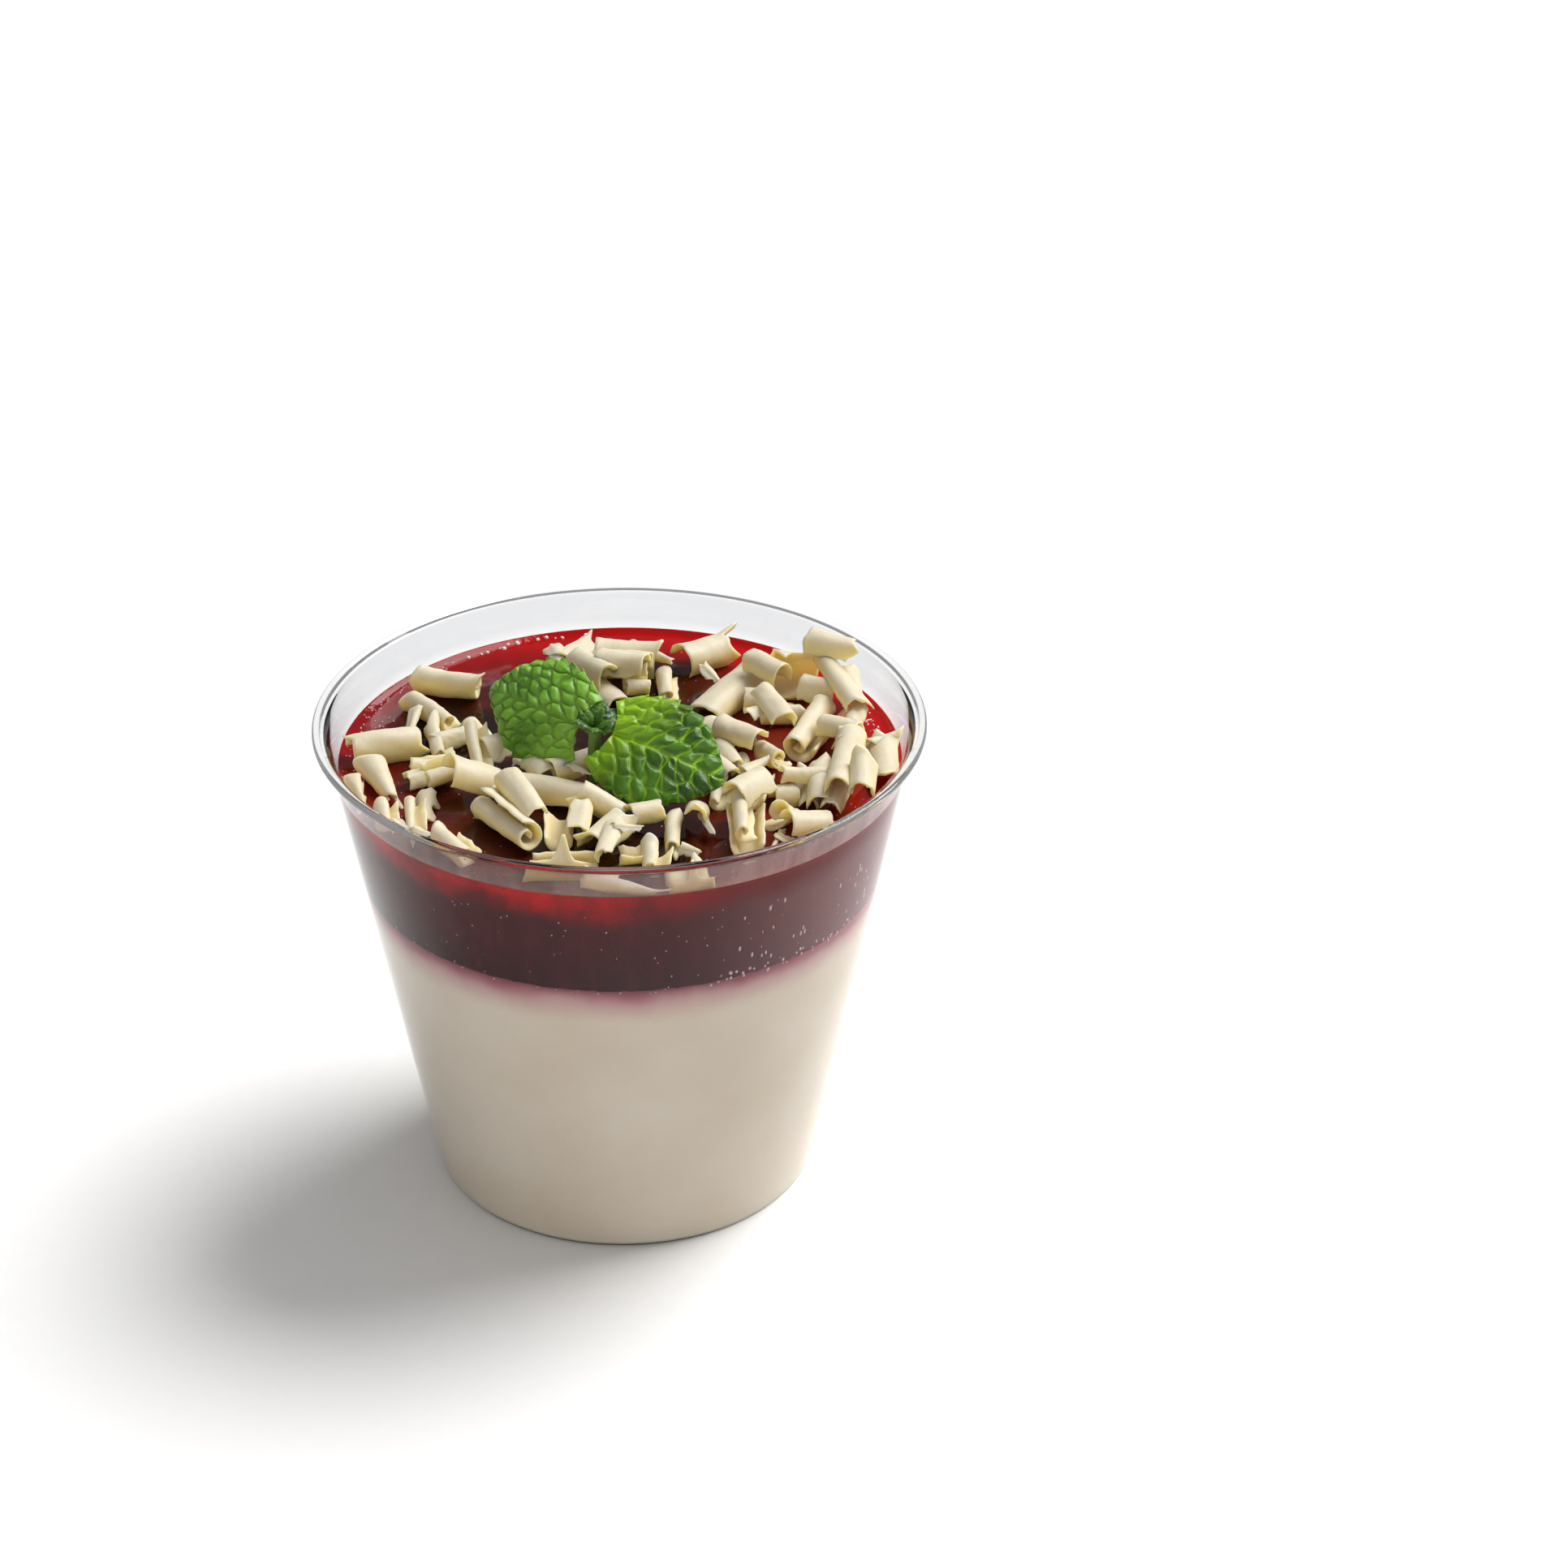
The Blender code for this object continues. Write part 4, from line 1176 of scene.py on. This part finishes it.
def set_cream(layer, clouds):
    """Set cream: off-white and milky, with the jelly's red soaked a few mm into its top."""
    nodes = Finish("set cream")
    height = nodes.split(nodes.where)["Z"]
    wander = nodes.drift(0.0030, 110)
    depth = nodes.math("SUBTRACT", layer * MM, nodes.math("ADD", height, wander))
    soaked = nodes.math("SUBTRACT", 1.0, nodes.ramp(depth, 0.0002, 0.0068))
    body = nodes.cloudy(clouds, 60, (0.77, 0.675, 0.55), (0.82, 0.745, 0.64))
    low = nodes.part(0.2, height, 0.016, 0.002)
    body = nodes.blend(low, body, (0.80, 0.68, 0.50))
    pink = nodes.blend(nodes.ramp(depth, 0.0, 0.0034), (0.38, 0.12, 0.15), (0.62, 0.32, 0.35))
    nodes.set(Base_Color=nodes.blend(soaked, body, pink), Roughness=0.5, Subsurface_Weight=0.5)
    nodes.set(Subsurface_Radius=(1.0, 0.75, 0.5), Subsurface_Scale=0.003, Specular_IOR_Level=0.0)
    nodes.bump(nodes.noise(nodes.where, 400, 3.0), 0.08, 0.0002)
    return nodes.material


def berry_jelly_top():
    """The jelly's glossy top: brown and nearly black farther in, with painted light: a red glow beside
    the wall at the back, where light passes through the thin jelly, and redder to the right.
    """
    nodes = Finish("berry jelly top")
    where = nodes.where
    place = nodes.split(where)
    flat = nodes.node("ShaderNodeCombineXYZ", X=place["X"], Y=place["Y"]).outputs[0]
    length = nodes.node("ShaderNodeVectorMath", operation="LENGTH", Vector=flat)
    radius = length.outputs["Value"]
    drift = nodes.drift(0.012, 55)
    # Painted light: near_wall, away and ring make a red glow beside the wall at the back, where light
    # passes through the thin jelly.
    near_wall = nodes.ramp(nodes.math("ADD", radius, drift), 0.0300, 0.0400)
    away = nodes.ramp(nodes.math("ADD", place["Y"], drift), -0.026, -0.004)
    patch = nodes.ramp(nodes.noise(where, 38, 4.0, 0.6), 0.38, 0.66)
    # Painted light: the deep colour turns redder towards the right, where the light falls.
    rightward = nodes.part(0.6, place["X"], 0.002, 0.030)
    deep = nodes.blend(patch, srgb(30, 8, 7), srgb(92, 30, 24))
    deep = nodes.blend(rightward, deep, srgb(132, 32, 24))
    ring = nodes.blend(nodes.ramp(place["X"], -0.034, -0.010), srgb(122, 8, 10), srgb(168, 7, 8))
    colour = nodes.blend(nodes.math("MULTIPLY", near_wall, away), deep, ring)
    nodes.set(Base_Color=colour, Roughness=0.05, IOR=1.26)
    foam = nodes.math("MULTIPLY", nodes.noise(where, 1000, 2.0), nodes.ramp(radius, 0.0385, 0.0412))
    rough_patch = nodes.ramp(nodes.noise(where, 90, 2.0), 0.5, 0.7)
    rough = nodes.math("MULTIPLY", rough_patch, nodes.noise(where, 700, 2.0))
    calm = nodes.math("MULTIPLY_ADD", nodes.noise(where, 140, 3.0), 0.35, foam)
    nodes.bump(nodes.math("MULTIPLY_ADD", rough, 0.5, calm), 0.25, 0.00025)
    return nodes.material


def berry_jelly_side(layer, streaks):
    """The jelly behind the wall: bright red under its top edge, a painted glow of light, then dark
    maroon to purple.

    A milky sheen is strongest where the wall turns away, and the colour itself pales at the right, a
    painted reflection.
    """
    nodes = Finish("berry jelly behind the wall")
    where = nodes.where
    place = nodes.split(where)
    drift = nodes.drift(0.0050, 75, 4.0)
    drop = nodes.math("SUBTRACT", JELLY_TOP * MM, nodes.math("ADD", place["Z"], drift))
    streak = nodes.streaked(streaks, 420, 20)
    # Painted light: a bright red glow just under the top edge, strongest at the left, with painted
    # glints in it.
    leftward = nodes.ramp(place["X"], 0.022, -0.016)
    leftward = nodes.math("MULTIPLY", leftward, nodes.ramp(place["X"], -0.040, -0.030))
    glint = nodes.ramp(nodes.noise(where, 150, 5.0, 0.65), 0.25, 0.75)
    painted_glow = nodes.blend(nodes.math("MULTIPLY", leftward, glint), srgb(112, 8, 12), srgb(215, 10, 14))
    low = nodes.blend(nodes.ramp(place["Z"], layer * MM, 0.060), srgb(62, 24, 30), srgb(78, 20, 22))
    low = nodes.blend(nodes.part(0.5, streak, 0.45, 0.75), low, srgb(96, 36, 40))
    low = nodes.blend(nodes.part(0.7, streak, 0.36, 0.22), low, srgb(34, 12, 14))
    # Painted reflection: the colour pales towards the right.
    low = nodes.blend(nodes.part(0.42, place["X"], 0.004, 0.036), low, srgb(186, 132, 132))
    colour = nodes.blend(nodes.ramp(drop, -0.0002, 0.0052), painted_glow, low)
    nodes.set(Base_Color=colour, Roughness=0.6, Specular_IOR_Level=0.0)
    nodes.set(Sheen_Weight=0.9, Sheen_Roughness=0.3, Sheen_Tint=(1.0, 0.75, 0.73))
    nodes.bump(streak, 0.05, 0.0003)
    return nodes.material


def jelly_smear(streaks):
    """A thin milky film with paler and clearer streaks, thicker towards the right, where the extra
    milkiness is a painted reflection.
    """
    nodes = Finish("jelly smear")
    streak = nodes.streaked(streaks, 260, 5)
    nodes.set(Base_Color=nodes.blend(streak, (0.66, 0.24, 0.20), (0.84, 0.56, 0.50)), Roughness=0.35)
    thick = nodes.math("MULTIPLY_ADD", nodes.ramp(streak, 0.35, 0.7), 0.16, 0.12)
    # Painted reflection: the film is more opaque towards the right.
    right = nodes.split(nodes.where)["X"]
    rightward = nodes.math("MULTIPLY_ADD", nodes.ramp(right, 0.004, 0.030), 1.8, 1.0)
    thick = nodes.math("MULTIPLY", thick, rightward)
    nodes.set(Alpha=nodes.math("MULTIPLY", nodes.attribute("cover"), thick), Specular_IOR_Level=0.1)
    nodes.bump(streak, 0.1, 0.0001)
    return nodes.material


def froth(name, skin, colour):
    """Wet bubble skin: pale and shiny."""
    nodes = Finish(name)
    nodes.set(Base_Color=nodes.effect(skin, Where=nodes.where, Colour=colour)["Colour"])
    nodes.set(Roughness=0.12, Coat_Weight=0.5)
    return nodes.material


def white_chocolate(clouds):
    """White chocolate: waxy ivory, with painted shade that makes it a warmer yellow where it turns
    down and on its inner face, and faint scrape lines.
    """
    nodes = Finish("white chocolate")
    own = nodes.node("ShaderNodeUVMap", uv_map="UVMap").outputs["UV"]
    normal = nodes.node("ShaderNodeNewGeometry").outputs["Normal"]
    facing = nodes.split(normal)["Z"]
    stretched = nodes.node("ShaderNodeMapping", Vector=own, Scale=(3.0, 0.25, 1.0))
    lines = nodes.noise(stretched.outputs["Vector"], 1.6, 4.0)
    body = nodes.cloudy(clouds, 240, (0.63, 0.565, 0.415), (0.68, 0.625, 0.48))
    # Painted shade: a warm yellow where the surface turns down and on the inner face, standing in for
    # the shaded folds.
    painted_shade_warm = nodes.cloudy(clouds, 240, (0.96, 0.735, 0.31), (0.97, 0.805, 0.41))
    body = nodes.blend(nodes.part(0.95, facing, 0.88, -0.05), body, painted_shade_warm)
    body = nodes.blend(nodes.math("MULTIPLY", nodes.attribute("inner"), 0.4), body, painted_shade_warm)
    body = nodes.blend(nodes.part(0.4, lines, 0.45, 0.8), body, (0.84, 0.75, 0.55))
    nodes.set(Base_Color=body, Roughness=nodes.math("MULTIPLY_ADD", lines, 0.2, 0.36))
    nodes.set(Subsurface_Weight=0.8, Subsurface_Radius=(1.0, 0.92, 0.62), Subsurface_Scale=0.0013)
    nodes.set(Specular_IOR_Level=0.3)
    grain = nodes.math("MULTIPLY", nodes.noise(nodes.where, 2600, 3.0), 0.25)
    nodes.bump(nodes.math("MULTIPLY_ADD", lines, 0.7, grain), 0.35, 0.00012)
    return nodes.material


def mint(name, skin, colours):
    """Mint: green skin with a soft shine on the swellings between its veins."""
    nodes = Finish(name)
    kept = ("vein", "swell", "young", "under")
    given = {label.capitalize(): nodes.attribute(label) for label in kept}
    leaf = nodes.effect(skin, Where=nodes.where, **given, **colours)
    nodes.set(Base_Color=leaf["Colour"], Roughness=leaf["Roughness"], Specular_IOR_Level=0.4)
    nodes.set(Subsurface_Weight=0.2, Subsurface_Radius=(0.5, 1.0, 0.1), Subsurface_Scale=0.0008)
    nodes.bump(nodes.noise(nodes.where, 2200, 3.0), 0.22, 0.0001)
    return nodes.material


def mint_stem(streaks):
    """The stem: pale green with darker streaks along it."""
    nodes = Finish("mint stem")
    streak = nodes.streaked(streaks, 1800, 10)
    nodes.set(Base_Color=nodes.blend(streak, (0.06, 0.14, 0.02), PALE_GREEN), Roughness=0.4)
    nodes.bump(streak, 0.3, 0.0001)
    return nodes.material


def pale_floor(clouds):
    """The plain white floor, with a trace of grain."""
    nodes = Finish("pale floor")
    grain = nodes.cloudy(clouds, 300, (0.94, 0.94, 0.94), (0.96, 0.96, 0.96))
    nodes.set(Base_Color=grain, Roughness=0.9, Specular_IOR_Level=0.0)
    return nodes.material


# ---------------------------------------------------------------- stage

def add_sun(name, towards, strength, spread, colour):
    """A soft sun that shines from a direction; its spread is in degrees."""
    sun = bpy.data.lights.new(name, "SUN")
    sun.energy = strength
    sun.angle = math.radians(spread)
    sun.color = colour
    lamp = bpy.data.objects.new(name, sun)
    lamp.rotation_euler = Vector(towards).to_track_quat("Z", "Y").to_euler()
    bpy.context.scene.collection.objects.link(lamp)


def make_world():
    """Studio surroundings: grey near the floor and a little brighter overhead."""
    world = bpy.data.worlds.new("studio")
    world.use_nodes = True
    nodes = Nodes(world.node_tree)
    up = nodes.split(nodes.node("ShaderNodeTexCoord").outputs["Generated"])["Z"]
    risen = nodes.node("ShaderNodeMapRange", Value=up, From_Min=0.15, From_Max=0.95)
    shade = nodes.blend(risen.outputs["Result"], LOW_GREY, HIGH_GREY)
    nodes.put(nodes.tree.nodes["Background"].inputs["Color"], shade)
    bpy.context.scene.world = world


def make_stage(floor_material):
    """A wide white floor, a soft key from behind at the right, and a weak fill from the front."""
    bpy.ops.mesh.primitive_plane_add(size=6.0)
    floor = bpy.context.object
    floor.name = "floor"
    floor.data.materials.append(floor_material)
    for name, sun in SUNS.items():
        add_sun(name, *sun)
    make_world()
    bpy.context.scene.view_settings.view_transform = "Standard"


def make_camera():
    """The camera: 31 degrees above the cup, turned a little so that the cup stands left of centre."""
    level = math.cos(CAMERA_PITCH)
    forward = Vector((math.sin(CAMERA_PAN) * level, math.cos(CAMERA_PAN) * level,
                      -math.sin(CAMERA_PITCH)))
    right = forward.cross(Vector((0, 0, 1))).normalized()
    up = right.cross(forward)
    across = right * math.cos(CAMERA_ROLL) + up * math.sin(CAMERA_ROLL)
    upward = up * math.cos(CAMERA_ROLL) - right * math.sin(CAMERA_ROLL)
    camera = bpy.data.cameras.new("camera")
    camera.lens = CAMERA_LENS
    camera.sensor_width = CAMERA_SENSOR
    holder = bpy.data.objects.new("camera", camera)
    turn = Matrix((across, upward, -forward)).transposed().to_4x4()
    holder.matrix_world = Matrix.Translation(Vector(CAMERA_PLACE) * MM) @ turn
    bpy.context.scene.collection.objects.link(holder)
    bpy.context.scene.camera = holder


def main():
    """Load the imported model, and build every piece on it."""
    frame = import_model()
    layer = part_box("panna_cotta")[1].z / MM
    make_camera()
    streaks = drawn_streaks()
    clouds = cloudy_colour()
    bubble = bubble_skin()
    leaf = leaf_skin()
    make_stage(pale_floor(clouds))
    make_cup(clear_plastic(streaks))
    make_cream(set_cream(layer, clouds), layer)
    make_jelly(berry_jelly_top(), berry_jelly_side(layer, streaks), layer)
    make_smear(jelly_smear(streaks))
    make_froth(froth("jelly froth", bubble, (0.88, 0.78, 0.77)))
    make_side_bubbles(froth("wall bubbles", bubble, (0.72, 0.47, 0.51)))
    chocolate = white_chocolate(clouds)
    make_curls(chocolate, frame["nodes"])
    make_slivers(chocolate)
    for name, blade in LEAVES.items():
        make_leaf(name, blade, mint(name.replace("_", " "), leaf, LEAF_COLOURS[name]))
    make_leaflets(mint("young mint leaf", leaf, LEAF_COLOURS["bud"]))
    make_stem(mint_stem(streaks))
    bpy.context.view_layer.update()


main()
